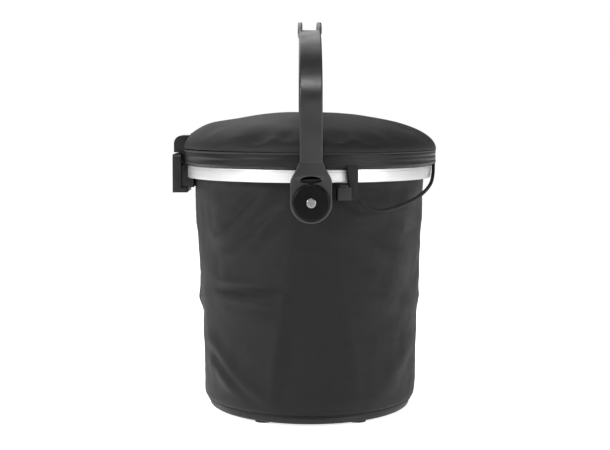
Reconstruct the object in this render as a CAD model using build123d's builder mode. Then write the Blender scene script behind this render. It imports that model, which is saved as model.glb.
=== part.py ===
from build123d import *
import os
from math import cos, radians, sin, sqrt

# Oval handlebar basket: a fabric bag hung in an aluminium rim rail, with a stiff base, a
# folding bow handle, a handlebar mount at the rear (-X) and a fabric cover with a drawcord.
# X runs forward, Y along the oval's long axis, Z up. The origin is at the oval's centre, in
# the plane of the feet's undersides. All sizes are in millimetres.

# ---- Driving dimensions ----------------------------------------------------------------
FIT = 0.1                 # clearance between flat faces that only rest on each other
HOLE_CLEARANCE = 0.15     # radial clearance of a plain screw hole

# Rim rail: an oval aluminium section with a closed chamber and a channel for the bag's bead
RAIL_HALF_X = 122.8
RAIL_HALF_Y = 170.0
RAIL_WIDTH = 13.0
RAIL_BOTTOM = 228.0
RAIL_HEIGHT = 12.4
RAIL_WALL = 1.8
CHAMBER_WIDTH = 4.4
BEAD_CHANNEL = 4.4
BEAD_SLOT = 2.4
RAIL_JOINT_GAP = 0.8
RAIL_GROOVE_DEPTH = 0.5
RAIL_GROOVE_HEIGHT = 0.9
RAIL_LIP = 1.9

# Bag
BAG_WALL = 2.0
BAG_BASE_IN_X = 17.3      # the bag's base, inside the rail's outer face
BAG_BASE_IN_Y = 19.0
BAG_BOTTOM = 7.5
BAG_CORNER = 6.0
BEAD_RADIUS = 2.0
BEAD_CHAMFER = 0.8
BEAD_IN_FROM_RAIL = 9.4   # centre of the bead, inside the rail's outer face

# Base
TRAY_IN_X = 5.0           # inside the bag's base
TRAY_IN_Y = 2.5
TRAY_BOTTOM = 1.6
TRAY_FLOOR = 3.0
TRAY_RIM = 20.0
BOARD_THICKNESS = 3.0
BOARD_GAP = 5.5           # from the bag's inner wall, so the board clears the round corner
FOOT_RADIUS = 8.5
FOOT_SEAT = 1.0
FOOT_FROM_EDGE = 9.5
SIDE_FOOT_X = 44.0

# Screws
BASE_SCREW_RADIUS = 2.0
RAIL_SCREW_RADIUS = 2.0
RAIL_SCREW_HEAD = 4.0
HUB_SCREW_RADIUS = 2.5
HUB_SCREW_HEAD = 4.6
HUB_SCREW_HEAD_HEIGHT = 2.6
HUB_NUT_ACROSS = 8.0
HUB_NUT_HEIGHT = 4.0

# Handle
PIVOT_DROP = 17.7         # pivot axis, below the rail
STRAP_THICKNESS = 4.0
STRAP_WIDTH = 20.9
BOW_CLEARANCE = 5.5       # bow's inner face, outside the rail
ARCH_SPRING_RISE = 91.7   # these heights are above the pivot axis
ARCH_RISE = 72.0
PAD_RADIUS = 19.0
PAD_SHOULDER_RISE = 19.7
PAD_FLARE_RISE = 38.7
PAD_FLARE_LAND = 4.0
SLOT_LENGTH = 21.0
SLOT_HEIGHT = 6.5
SLOT_RISE = 20.7
LIP_REACH = 58.0
LIP_RISE = 8.0
LIP_WIDTH = 3.9
LIP_GAP = 15.6
HUB_BOSS_RADIUS = 9.0
HUB_RUNNING_CLEARANCE = 0.06
HUB_CAP_RADIUS = 17.4
HUB_CAP_HEIGHT = 4.4
HUB_WASHER_RADIUS = 16.0
HUB_WASHER_THICKNESS = 1.0

# Pivot bracket
BRACKET_WIDTH = 39.0
BRACKET_DROP = 17.8       # below the pivot axis
BRACKET_TOP_GAP = 1.0
BRACKET_DEPTH = 12.0
BRACKET_CORNER = 17.4
BRACKET_THICKNESS = 4.0
BRACKET_SCREW_X = 12.0

# Handlebar mount
MOUNT_HALF_WIDTH = 36.0
MOUNT_OUT = 12.7          # outer face, outside the rail
MOUNT_THICKNESS = 8.3
MOUNT_DROP = 15.0         # below the rail
MOUNT_RISE = 11.6         # above the rail
MOUNT_FOOT_IN = 1.8       # inside the rail's outer face
MOUNT_CORNER = 6.0
MOUNT_SEAM = 1.6
MOUNT_SEAM_DEPTH = 5.0
CLAMP_INSET = 3.0
CLAMP_TOP_GAP = 0.4
CLAMP_REACH = 10.8
MOUNT_FOOT_THICKNESS = 5.0
HOOD_HALF_WIDTH = 22.0
HOOD_IN = 3.5             # inside the rail's outer face
HOOD_RISE = 28.6          # above the rail
HOOD_SET_BACK = 0.5
HOOD_CORNER = 8.0
ARM_IN = 7.8              # inside the rail's outer face
SOCKET_MOUTH_HALF = 21.0
SOCKET_HALF = 27.0
SOCKET_MOUTH_DEPTH = 2.4
SOCKET_DEPTH = 5.4
SOCKET_RISE = 5.6         # above the rail
MOUNT_SCREW_Y = (10.0, 24.0)

# Cover
BAND_OVERHANG = 3.9       # outside the rail
BAND_RISE = 2.0           # above the rail
BAND_HEIGHT = 11.0
HEM_TUCK = 2.6            # the hem's lower edge, inside the band's face
BAND_WIDTH = 8.2
BAND_WALL = 1.4
DOME_RISE = 36.6
DOME_WALL = 1.2
PIPING = 2.4
NOTCH_HALF_WIDTH = 24.0
NOTCH_GAP = 0.9           # between the hood's tip and the cover
GUSSET_WALL = 1.2
HEM_CORD = 4.0
HEM_CORD_RISE = 2.6       # above the band's lower edge

# Drawcord and its stopper
CORD_RADIUS = 1.75
CORD_HOLE_RADIUS = 1.95
STOPPER_ANGLE = 17.3
STOPPER_TURN = -76.54     # place on the rim, degrees round the oval from +X
STOPPER_OUT = 4.39        # outside the rail
STOPPER_DROP = 15.7       # these drops are below the rail
STOPPER_LENGTH = 13.7
STOPPER_DEPTH = 7.0
STOPPER_HEIGHT = 11.9
STOPPER_FLOOR = 1.0
CORD_DROP = 7.6
BUTTON_LENGTH = 8.0
BUTTON_DEPTH = 4.6
BUTTON_PLAY = 0.1
BUTTON_DROP = 10.9
BUTTON_HEIGHT = 9.5
BUTTON_TRAVEL = 2.0
BUTTON_WEB = 1.3
SPRING_RADIUS = 1.6
SPRING_WIRE = 0.25
SPRING_TURNS = 3
TAB_TURN = -71.98
TAB_TOP_WIDTH = 11.0
TAB_BOTTOM_WIDTH = 6.5
TAB_DROP = 9.6
TAB_OVERLAP = 1.0
TAB_THICKNESS = 1.6
TAB_GAP = 0.7
# The drawcord's points, from inside the hem down, along the rim and through the stopper
CORD_POINTS = [
    (121.9, -38.4, 245.0), (121.9, -38.4, 238.5), (121.0, -46.5, 231.0), (117.6, -61.5, 221.6),
    (105.4, -95.2, 212.7), (90.8, -120.4, 206.8), (75.9, -138.3, 202.5), (63.5, -149.7, 200.9),
    (53.0, -157.8, 204.4), (46.2, -162.3, 210.0), (41.8, -164.9, 215.6), (38.3, -166.9, 220.4),
    (23.0, -171.65, 220.4),
]

# ---- Worked out from the driving dimensions ---------------------------------------------
RAIL_TOP = RAIL_BOTTOM + RAIL_HEIGHT
BAG_BASE_HALF_X = RAIL_HALF_X - BAG_BASE_IN_X
BAG_BASE_HALF_Y = RAIL_HALF_Y - BAG_BASE_IN_Y
TRAY_HALF_X = BAG_BASE_HALF_X - TRAY_IN_X
TRAY_HALF_Y = BAG_BASE_HALF_Y - TRAY_IN_Y
PIVOT_HEIGHT = RAIL_BOTTOM - PIVOT_DROP
ARCH_SPRING = PIVOT_HEIGHT + ARCH_SPRING_RISE
PAD_SHOULDER = PIVOT_HEIGHT + PAD_SHOULDER_RISE
PAD_FLARE_TOP = PIVOT_HEIGHT + PAD_FLARE_RISE
SLOT_CENTRE = PIVOT_HEIGHT + SLOT_RISE
BRACKET_BOTTOM = PIVOT_HEIGHT - BRACKET_DROP
MOUNT_OUTER = RAIL_HALF_X + MOUNT_OUT
MOUNT_BOTTOM = RAIL_BOTTOM - MOUNT_DROP
MOUNT_TOP = RAIL_TOP + MOUNT_RISE
MOUNT_FOOT_TIP = RAIL_HALF_X - MOUNT_FOOT_IN
HOOD_TIP = RAIL_HALF_X - HOOD_IN
HOOD_TOP = RAIL_TOP + HOOD_RISE
ARM_TIP = RAIL_HALF_X - ARM_IN
SOCKET_TOP = RAIL_TOP + SOCKET_RISE
BAND_BOTTOM = RAIL_TOP + BAND_RISE
BAND_TOP = BAND_BOTTOM + BAND_HEIGHT
BOW_INNER = RAIL_HALF_Y + BOW_CLEARANCE
BOW_OUTER = BOW_INNER + STRAP_THICKNESS
BRACKET_FACE = BOW_INNER - FIT - HUB_WASHER_THICKNESS
BRACKET_BACK = BRACKET_FACE - BRACKET_THICKNESS
CAP_FACE = BOW_OUTER + FIT
RAIL_MID = RAIL_BOTTOM + RAIL_HEIGHT / 2
CHAMBER_OUT = RAIL_WALL
CHAMBER_IN = RAIL_WALL + CHAMBER_WIDTH
MOUNT_BACK = MOUNT_OUTER - MOUNT_THICKNESS
NOTCH_X = HOOD_TIP - NOTCH_GAP
BAND_HALF_X = RAIL_HALF_X + BAND_OVERHANG
BAND_HALF_Y = RAIL_HALF_Y + BAND_OVERHANG
DOME_BOTTOM = BAND_TOP + PIPING
FLOOR_TOP = BAG_BOTTOM + BAG_WALL


def oval_ring(half_x, half_y, width, mode=Mode.ADD):
    """Sketch an oval ring, its outer half-axes given, its width measured inward."""
    with BuildSketch(mode=Mode.PRIVATE) as ring:
        Ellipse(half_x, half_y)
        Ellipse(half_x - width, half_y - width, mode=Mode.SUBTRACT)
    add(ring.sketch, mode=mode)


def rail_point(x_or_y, along_x):
    """The other coordinate of the rail's outer oval, always positive."""
    if along_x:
        return RAIL_HALF_Y * sqrt(1 - (x_or_y / RAIL_HALF_X) ** 2)
    return RAIL_HALF_X * sqrt(1 - (x_or_y / RAIL_HALF_Y) ** 2)


def rim_place(turn, out):
    """A place outside the rail's outer oval, the turn in degrees from +X."""
    return ((RAIL_HALF_X + out) * cos(radians(turn)), (RAIL_HALF_Y + out) * sin(radians(turn)))


def side_plane(side, distance, x=0.0, z=0.0):
    """A plane at y = side * distance that faces outward, away from the bag."""
    return Plane(origin=(x, side * distance, z), x_dir=(1, 0, 0), z_dir=(0, side, 0))


def turned_plane(x, y, z, angle):
    """A level plane whose x axis follows the rim on the near side."""
    return Plane(origin=(x, y, z), x_dir=(cos(radians(angle)), sin(radians(angle)), 0))


SIDES = {"near": -1, "far": 1}
foot_half_x = TRAY_HALF_X - FOOT_FROM_EDGE
foot_half_y = TRAY_HALF_Y - FOOT_FROM_EDGE
side_foot_y = foot_half_y * sqrt(1 - (SIDE_FOOT_X / foot_half_x) ** 2)
foot_places = [(foot_half_x, 0), (-foot_half_x, 0)]
foot_places += [(sx * SIDE_FOOT_X, sy * side_foot_y) for sx in (-1, 1) for sy in (-1, 1)]
pieces = {}

# ---- Screws, drawn with the head's top at z = 0 and the shank downward -------------------
rail_screw_length = BRACKET_FACE - (RAIL_HALF_Y - CHAMBER_IN) - 0.5
mount_floor = MOUNT_OUTER - SOCKET_DEPTH
mount_screw_length = mount_floor - (rail_point(MOUNT_SCREW_Y[1], False) - RAIL_WALL - 3.0)


def countersunk_screw(length):
    """A countersunk screw with a cross recess."""
    head_height = RAIL_SCREW_HEAD - RAIL_SCREW_RADIUS
    with BuildPart(mode=Mode.PRIVATE) as screw:
        with BuildSketch(Plane.XZ):
            with BuildLine():
                Polyline((0, 0), (RAIL_SCREW_HEAD, 0), (RAIL_SCREW_RADIUS - 0.05, -head_height),
                         (RAIL_SCREW_RADIUS - 0.05, -length), (0, -length), close=True)
            make_face()
        revolve(axis=Axis.Z)
        with BuildSketch():
            Rectangle(4.4, 1.0)
            Rectangle(1.0, 4.4)
        extrude(amount=-1.2, mode=Mode.SUBTRACT)
    return screw.part


# ---- Rim rail ----------------------------------------------------------------------------
with BuildPart() as rim_rail:
    with BuildSketch(Plane.XY.offset(RAIL_BOTTOM)):
        oval_ring(RAIL_HALF_X, RAIL_HALF_Y, RAIL_WIDTH)
    extrude(amount=RAIL_HEIGHT)
    with BuildSketch(Plane.XY.offset(RAIL_BOTTOM + RAIL_WALL)):
        oval_ring(RAIL_HALF_X - CHAMBER_OUT, RAIL_HALF_Y - CHAMBER_OUT, CHAMBER_WIDTH)
    extrude(amount=RAIL_HEIGHT - 2 * RAIL_WALL, mode=Mode.SUBTRACT)
    channel_out = BEAD_IN_FROM_RAIL - BEAD_CHANNEL / 2
    with BuildSketch(Plane.XY.offset(RAIL_MID - BEAD_CHANNEL / 2)):
        oval_ring(RAIL_HALF_X - channel_out, RAIL_HALF_Y - channel_out, BEAD_CHANNEL)
    extrude(amount=BEAD_CHANNEL, mode=Mode.SUBTRACT)
    slot_out = BEAD_IN_FROM_RAIL - BEAD_SLOT / 2
    with BuildSketch(Plane.XY.offset(RAIL_BOTTOM)):
        oval_ring(RAIL_HALF_X - slot_out, RAIL_HALF_Y - slot_out, BEAD_SLOT)
    extrude(amount=RAIL_HEIGHT / 2, mode=Mode.SUBTRACT)
    with BuildSketch(Plane.XY.offset(RAIL_TOP - RAIL_LIP - RAIL_GROOVE_HEIGHT)):
        oval_ring(RAIL_HALF_X + 1, RAIL_HALF_Y + 1, 1 + RAIL_GROOVE_DEPTH)
    extrude(amount=RAIL_GROOVE_HEIGHT, mode=Mode.SUBTRACT)
    with Locations((-RAIL_HALF_X, 0, RAIL_MID)):
        Box(3 * RAIL_WIDTH, RAIL_JOINT_GAP, 2 * RAIL_HEIGHT, mode=Mode.SUBTRACT)
    hole = RAIL_SCREW_RADIUS + HOLE_CLEARANCE
    for side in SIDES.values():
        with Locations(side_plane(side, RAIL_HALF_Y - CHAMBER_IN / 2, 0, RAIL_MID).location):
            with Locations((BRACKET_SCREW_X, 0, 0), (-BRACKET_SCREW_X, 0, 0)):
                Cylinder(hole, CHAMBER_IN, mode=Mode.SUBTRACT)
    for y in MOUNT_SCREW_Y:
        with Locations((-RAIL_HALF_X + CHAMBER_IN / 2, y, RAIL_MID),
                       (-RAIL_HALF_X + CHAMBER_IN / 2, -y, RAIL_MID)):
            Cylinder(hole, CHAMBER_IN, rotation=(0, 90, 0), mode=Mode.SUBTRACT)
pieces["rim_rail"] = rim_rail

# Bars with threaded holes that lie in the rail's chamber: two for the handle's brackets, and
# one that joins the rail's ends and takes the mount's screws
bar_width = CHAMBER_WIDTH - 2 * FIT
bar_height = RAIL_HEIGHT - 2 * RAIL_WALL - 2 * FIT


def chamber_bar(place, size_x, size_y):
    """The rail's chamber filled inside a box: a curved bar."""
    inset = CHAMBER_OUT + FIT
    with BuildPart(mode=Mode.PRIVATE) as bar:
        with BuildSketch(Plane.XY.offset(RAIL_BOTTOM + RAIL_WALL + FIT)):
            oval_ring(RAIL_HALF_X - inset, RAIL_HALF_Y - inset, bar_width)
            with Locations(place):
                Rectangle(size_x, size_y, mode=Mode.INTERSECT)
        extrude(amount=bar_height)
    return bar.part


for name, side in SIDES.items():
    with BuildPart() as nut_bar:
        add(chamber_bar((0, side * RAIL_HALF_Y), BRACKET_WIDTH - 2, 4 * RAIL_WIDTH))
        with Locations(side_plane(side, RAIL_HALF_Y - CHAMBER_IN / 2, 0, RAIL_MID).location):
            with Locations((BRACKET_SCREW_X, 0, 0), (-BRACKET_SCREW_X, 0, 0)):
                Cylinder(RAIL_SCREW_RADIUS, 2 * CHAMBER_IN, mode=Mode.SUBTRACT)
    pieces[f"nut_bar_{name}"] = nut_bar

with BuildPart() as rail_splice:
    add(chamber_bar((-RAIL_HALF_X, 0), 4 * RAIL_WIDTH, 2 * (MOUNT_SCREW_Y[1] + 8)))
    for y in MOUNT_SCREW_Y:
        with Locations((-RAIL_HALF_X, y, RAIL_MID), (-RAIL_HALF_X, -y, RAIL_MID)):
            Cylinder(RAIL_SCREW_RADIUS, 4 * RAIL_WIDTH, rotation=(0, 90, 0), mode=Mode.SUBTRACT)
pieces["rail_splice"] = rail_splice

# ---- Bag ---------------------------------------------------------------------------------
bag_half_x = RAIL_HALF_X - BEAD_IN_FROM_RAIL + BAG_WALL / 2
bag_half_y = RAIL_HALF_Y - BEAD_IN_FROM_RAIL + BAG_WALL / 2
bead_bottom = RAIL_MID - BEAD_RADIUS

with BuildPart() as bag_body:
    with BuildSketch(Plane.XY.offset(BAG_BOTTOM)):
        Ellipse(BAG_BASE_HALF_X, BAG_BASE_HALF_Y)
    with BuildSketch(Plane.XY.offset(RAIL_BOTTOM)):
        Ellipse(bag_half_x, bag_half_y)
    loft(ruled=True)
    fillet(bag_body.edges().sort_by(Axis.Z)[0], BAG_CORNER)
    with BuildSketch(Plane.XY.offset(RAIL_BOTTOM)):
        Ellipse(bag_half_x, bag_half_y)
    extrude(amount=bead_bottom - RAIL_BOTTOM)
    with BuildPart(mode=Mode.PRIVATE) as cavity:
        with BuildSketch(Plane.XY.offset(FLOOR_TOP)):
            Ellipse(BAG_BASE_HALF_X - BAG_WALL, BAG_BASE_HALF_Y - BAG_WALL)
        with BuildSketch(Plane.XY.offset(RAIL_BOTTOM)):
            Ellipse(bag_half_x - BAG_WALL, bag_half_y - BAG_WALL)
        loft(ruled=True)
        fillet(cavity.edges().sort_by(Axis.Z)[0], BAG_CORNER - BAG_WALL)
        with BuildSketch(Plane.XY.offset(RAIL_BOTTOM)):
            Ellipse(bag_half_x - BAG_WALL, bag_half_y - BAG_WALL)
        extrude(amount=RAIL_HEIGHT)
    add(cavity.part, mode=Mode.SUBTRACT)
    with Locations([(x, y, FLOOR_TOP) for x, y in foot_places]):
        Cylinder(BASE_SCREW_RADIUS + HOLE_CLEARANCE, 3 * BAG_WALL, mode=Mode.SUBTRACT)
pieces["bag_body"] = bag_body



def oval_stack(inset, narrowing):
    """Ovals lofted up the bead's height, its first and last narrowed by the chamfer."""
    bead_top = bead_bottom + 2 * BEAD_RADIUS
    levels = ((bead_bottom, narrowing), (bead_bottom + BEAD_CHAMFER, 0.0),
              (bead_top - BEAD_CHAMFER, 0.0), (bead_top, narrowing))
    with BuildPart(mode=Mode.PRIVATE) as stack:
        for height, less in levels:
            with BuildSketch(Plane.XY.offset(height)):
                Ellipse(RAIL_HALF_X - inset - less, RAIL_HALF_Y - inset - less)
        loft(ruled=True)
    return stack.part


with BuildPart() as bag_bead:
    bead_out = BEAD_IN_FROM_RAIL - BEAD_RADIUS
    add(oval_stack(bead_out, BEAD_CHAMFER))
    add(oval_stack(bead_out + 2 * BEAD_RADIUS, -BEAD_CHAMFER), mode=Mode.SUBTRACT)
pieces["bag_bead"] = bag_bead

# ---- Base --------------------------------------------------------------------------------
centre_foot_height = BAG_BOTTOM - TRAY_FLOOR + FOOT_SEAT
with BuildPart() as base_tray:
    with BuildSketch(Plane.XY.offset(TRAY_BOTTOM)):
        Ellipse(TRAY_HALF_X, TRAY_HALF_Y)
    extrude(amount=BAG_BOTTOM - TRAY_BOTTOM)
    fillet(base_tray.edges().sort_by(Axis.Z)[0], 2.0)
    with BuildSketch(Plane.XY.offset(TRAY_BOTTOM)):
        Ellipse(TRAY_HALF_X - TRAY_RIM, TRAY_HALF_Y - TRAY_RIM)
    extrude(amount=BAG_BOTTOM - TRAY_BOTTOM - TRAY_FLOOR, mode=Mode.SUBTRACT)
    with Locations([(x, y, TRAY_BOTTOM) for x, y in foot_places]):
        Cylinder(FOOT_RADIUS + FIT, 2 * FOOT_SEAT, mode=Mode.SUBTRACT)
        Cylinder(BASE_SCREW_RADIUS + HOLE_CLEARANCE, 4 * BAG_BOTTOM, mode=Mode.SUBTRACT)
    with Locations((0, 0, centre_foot_height - FOOT_SEAT)):
        Cylinder(FOOT_RADIUS + FIT, 2 * FOOT_SEAT, mode=Mode.SUBTRACT)
pieces["base_tray"] = base_tray

# Six screwed feet round the edge and a plain one, pushed into its seat, in the middle
foot_height = TRAY_BOTTOM + FOOT_SEAT
with BuildPart() as base_feet:
    with Locations([(x, y, 0) for x, y in foot_places]):
        Cylinder(FOOT_RADIUS, foot_height, align=(Align.CENTER, Align.CENTER, Align.MIN))
    Cylinder(FOOT_RADIUS, centre_foot_height, align=(Align.CENTER, Align.CENTER, Align.MIN))
    fillet(base_feet.edges().group_by(Axis.Z)[0], 0.8)
    with Locations([(x, y, 0) for x, y in foot_places]):
        Cylinder(BASE_SCREW_RADIUS + HOLE_CLEARANCE, 4 * foot_height, mode=Mode.SUBTRACT)
        Cylinder(RAIL_SCREW_HEAD + HOLE_CLEARANCE, 3.2, mode=Mode.SUBTRACT)
pieces["base_feet"] = base_feet

with BuildPart() as base_board:
    with BuildSketch(Plane.XY.offset(FLOOR_TOP)):
        Ellipse(BAG_BASE_HALF_X - BAG_WALL - BOARD_GAP, BAG_BASE_HALF_Y - BAG_WALL - BOARD_GAP)
    extrude(amount=BOARD_THICKNESS)
    with Locations([(x, y, FLOOR_TOP) for x, y in foot_places]):
        Cylinder(BASE_SCREW_RADIUS, 4 * BOARD_THICKNESS, mode=Mode.SUBTRACT)
pieces["base_board"] = base_board

base_screw_seat = 1.6
with BuildPart() as base_screws:
    with Locations([(x, y, base_screw_seat) for x, y in foot_places]):
        Cylinder(RAIL_SCREW_HEAD, 1.2, align=(Align.CENTER, Align.CENTER, Align.MAX))
        Cylinder(BASE_SCREW_RADIUS - 0.05, FLOOR_TOP + BOARD_THICKNESS - base_screw_seat,
                 align=(Align.CENTER, Align.CENTER, Align.MIN))
pieces["base_screws"] = base_screws

# ---- Handle pivots -----------------------------------------------------------------------
for name, side in SIDES.items():
    with BuildPart() as pivot_bracket:
        bracket_top = RAIL_TOP - BRACKET_TOP_GAP
        with Locations((0, side * BRACKET_FACE, BRACKET_BOTTOM)):
            Box(BRACKET_WIDTH, BRACKET_FACE - RAIL_HALF_Y + BRACKET_DEPTH, bracket_top - BRACKET_BOTTOM,
                align=(Align.CENTER, Align.MAX if side > 0 else Align.MIN, Align.MIN))
        with BuildSketch(Plane.XY.offset(RAIL_BOTTOM - FIT)):
            Ellipse(RAIL_HALF_X + FIT, RAIL_HALF_Y + FIT)
        extrude(amount=3 * RAIL_HEIGHT, mode=Mode.SUBTRACT)
        with Locations((0, side * BRACKET_BACK, 0)):
            Box(2 * BRACKET_WIDTH, 60, 2 * (RAIL_BOTTOM - FIT),
                align=(Align.CENTER, Align.MAX if side > 0 else Align.MIN, Align.CENTER),
                mode=Mode.SUBTRACT)
        lower = pivot_bracket.edges().filter_by(Axis.Y).group_by(Axis.Z)[0]
        fillet(lower, BRACKET_CORNER)
        with Locations(side_plane(side, BRACKET_FACE, 0, PIVOT_HEIGHT).location):
            Cylinder(HUB_BOSS_RADIUS, CAP_FACE - BRACKET_FACE,
                     align=(Align.CENTER, Align.CENTER, Align.MIN))
            Cylinder(HUB_SCREW_RADIUS + HOLE_CLEARANCE, 60, mode=Mode.SUBTRACT)
        with Locations(side_plane(side, BRACKET_FACE, 0, RAIL_MID).location):
            with Locations((BRACKET_SCREW_X, 0, 0), (-BRACKET_SCREW_X, 0, 0)):
                CounterSinkHole(RAIL_SCREW_RADIUS + HOLE_CLEARANCE, RAIL_SCREW_HEAD + HOLE_CLEARANCE,
                                depth=20, counter_sink_angle=90)
    pieces[f"pivot_bracket_{name}"] = pivot_bracket

    with BuildPart() as hub_washer:
        with BuildSketch(side_plane(side, BRACKET_FACE, 0, PIVOT_HEIGHT)):
            Circle(HUB_WASHER_RADIUS)
            Circle(HUB_BOSS_RADIUS + FIT, mode=Mode.SUBTRACT)
        extrude(amount=HUB_WASHER_THICKNESS)
    pieces[f"hub_washer_{name}"] = hub_washer

    with BuildPart() as hub_cap:
        with BuildSketch(side_plane(side, CAP_FACE, 0, PIVOT_HEIGHT)):
            Circle(HUB_CAP_RADIUS)
        extrude(amount=HUB_CAP_HEIGHT)
        outer_rim = hub_cap.faces().sort_by(Axis.Y)[-1 if side > 0 else 0].edges()
        fillet(outer_rim, 3.0)
        with Locations(side_plane(side, CAP_FACE + HUB_CAP_HEIGHT, 0, PIVOT_HEIGHT).location):
            CounterBoreHole(HUB_SCREW_RADIUS + HOLE_CLEARANCE, HUB_SCREW_HEAD + 0.4,
                            counter_bore_depth=2.0, depth=20)
    pieces[f"hub_cap_{name}"] = hub_cap

    with BuildPart() as hub_screw:
        head_seat = CAP_FACE + HUB_CAP_HEIGHT - 2.0
        with Locations(side_plane(side, head_seat, 0, PIVOT_HEIGHT).location):
            Cylinder(HUB_SCREW_HEAD, HUB_SCREW_HEAD_HEIGHT,
                     align=(Align.CENTER, Align.CENTER, Align.MIN))
        rim = hub_screw.faces().sort_by(Axis.Y)[-1 if side > 0 else 0].edges()
        fillet(rim, 1.2)
        with BuildSketch(side_plane(side, head_seat + HUB_SCREW_HEAD_HEIGHT, 0, PIVOT_HEIGHT)):
            Rectangle(5.2, 1.3)
            Rectangle(1.3, 5.2)
        extrude(amount=-1.6, mode=Mode.SUBTRACT)
        with Locations(side_plane(side, head_seat, 0, PIVOT_HEIGHT).location):
            Cylinder(HUB_SCREW_RADIUS - 0.05, head_seat - BRACKET_BACK + HUB_NUT_HEIGHT + 0.5,
                     align=(Align.CENTER, Align.CENTER, Align.MAX))
    pieces[f"hub_screw_{name}"] = hub_screw

    with BuildPart() as hub_nut:
        with BuildSketch(side_plane(side, BRACKET_BACK, 0, PIVOT_HEIGHT)):
            RegularPolygon(HUB_NUT_ACROSS / 2, 6, major_radius=False)
            Circle(HUB_SCREW_RADIUS, mode=Mode.SUBTRACT)
        extrude(amount=-HUB_NUT_HEIGHT)
    pieces[f"hub_nut_{name}"] = hub_nut

with BuildPart() as bracket_screws:
    for side in SIDES.values():
        with Locations(side_plane(side, BRACKET_FACE, 0, RAIL_MID).location):
            with Locations((BRACKET_SCREW_X, 0, 0), (-BRACKET_SCREW_X, 0, 0)):
                add(countersunk_screw(rail_screw_length))
pieces["bracket_screws"] = bracket_screws

# ---- Handle bow --------------------------------------------------------------------------
with BuildPart() as handle_bow:
    with BuildSketch(Plane.YZ):
        with Locations((0, ARCH_SPRING)):
            Ellipse(BOW_OUTER, ARCH_RISE)
            Ellipse(BOW_INNER, ARCH_RISE - STRAP_THICKNESS, mode=Mode.SUBTRACT)
            Rectangle(3 * BOW_OUTER, 2 * ARCH_RISE, align=(Align.CENTER, Align.MAX),
                      mode=Mode.SUBTRACT)
        for side in SIDES.values():
            with Locations((side * (BOW_INNER + BOW_OUTER) / 2, ARCH_SPRING)):
                Rectangle(STRAP_THICKNESS, ARCH_SPRING - PAD_FLARE_TOP + 2,
                          align=(Align.CENTER, Align.MAX))
    extrude(amount=STRAP_WIDTH / 2, both=True)
    for side in SIDES.values():
        with BuildSketch(Plane.XZ.offset(-side * BOW_INNER)):
            with BuildLine():
                Polyline((-PAD_RADIUS, PIVOT_HEIGHT), (-PAD_RADIUS, PAD_SHOULDER),
                         (-STRAP_WIDTH / 2, PAD_FLARE_TOP - PAD_FLARE_LAND),
                         (-STRAP_WIDTH / 2, PAD_FLARE_TOP), (STRAP_WIDTH / 2, PAD_FLARE_TOP),
                         (STRAP_WIDTH / 2, PAD_FLARE_TOP - PAD_FLARE_LAND),
                         (PAD_RADIUS, PAD_SHOULDER), (PAD_RADIUS, PIVOT_HEIGHT), close=True)
            make_face()
            with Locations((0, PIVOT_HEIGHT)):
                Circle(PAD_RADIUS)
                Circle(HUB_BOSS_RADIUS + HUB_RUNNING_CLEARANCE, mode=Mode.SUBTRACT)
            with BuildSketch(mode=Mode.PRIVATE) as lens:
                with BuildLine():
                    tips = ((-SLOT_LENGTH / 2, SLOT_CENTRE), (SLOT_LENGTH / 2, SLOT_CENTRE))
                    ThreePointArc(tips[0], (0, SLOT_CENTRE + SLOT_HEIGHT / 2), tips[1])
                    ThreePointArc(tips[0], (0, SLOT_CENTRE - SLOT_HEIGHT / 2), tips[1])
                make_face()
            add(lens.sketch, mode=Mode.SUBTRACT)
        extrude(amount=-side * STRAP_THICKNESS)
    lip_base = ARCH_SPRING + ARCH_RISE * sqrt(1 - (LIP_REACH / BOW_OUTER) ** 2)
    for side in (-1, 1):
        start = LIP_GAP / 2 if side > 0 else -LIP_GAP / 2 - LIP_WIDTH
        with BuildSketch(Plane.YZ.offset(start)):
            with BuildLine():
                ThreePointArc((-LIP_REACH, lip_base), (0, ARCH_SPRING + ARCH_RISE + LIP_RISE),
                              (LIP_REACH, lip_base))
                Line((LIP_REACH, lip_base), (-LIP_REACH, lip_base))
            make_face()
            with Locations((0, ARCH_SPRING)):
                Ellipse(BOW_INNER, ARCH_RISE - STRAP_THICKNESS, mode=Mode.SUBTRACT)
        extrude(amount=LIP_WIDTH)
pieces["handle_bow"] = handle_bow

# ---- Handlebar mount ---------------------------------------------------------------------
with BuildPart() as mount_clamp:
    clamp_top = RAIL_TOP - CLAMP_TOP_GAP
    with Locations((-MOUNT_BACK, 0, clamp_top)):
        Box(MOUNT_BACK - RAIL_HALF_X + CLAMP_REACH, 2 * (MOUNT_HALF_WIDTH - CLAMP_INSET),
            clamp_top - MOUNT_BOTTOM - MOUNT_FOOT_THICKNESS,
            align=(Align.MIN, Align.CENTER, Align.MAX))
    with BuildSketch(Plane.XY.offset(RAIL_BOTTOM - FIT)):
        Ellipse(RAIL_HALF_X + FIT, RAIL_HALF_Y + FIT)
    extrude(amount=2 * RAIL_HEIGHT, mode=Mode.SUBTRACT)
    with Locations((-ARM_TIP, 0, RAIL_BOTTOM - FIT)):
        Box(30, 4 * MOUNT_HALF_WIDTH, 60, align=(Align.MIN, Align.CENTER, Align.MAX),
            mode=Mode.SUBTRACT)
    for y in MOUNT_SCREW_Y:
        with Locations((-MOUNT_BACK, y, RAIL_MID), (-MOUNT_BACK, -y, RAIL_MID)):
            Cylinder(RAIL_SCREW_RADIUS + HOLE_CLEARANCE, 40, rotation=(0, 90, 0),
                     mode=Mode.SUBTRACT)
pieces["mount_clamp"] = mount_clamp

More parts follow.
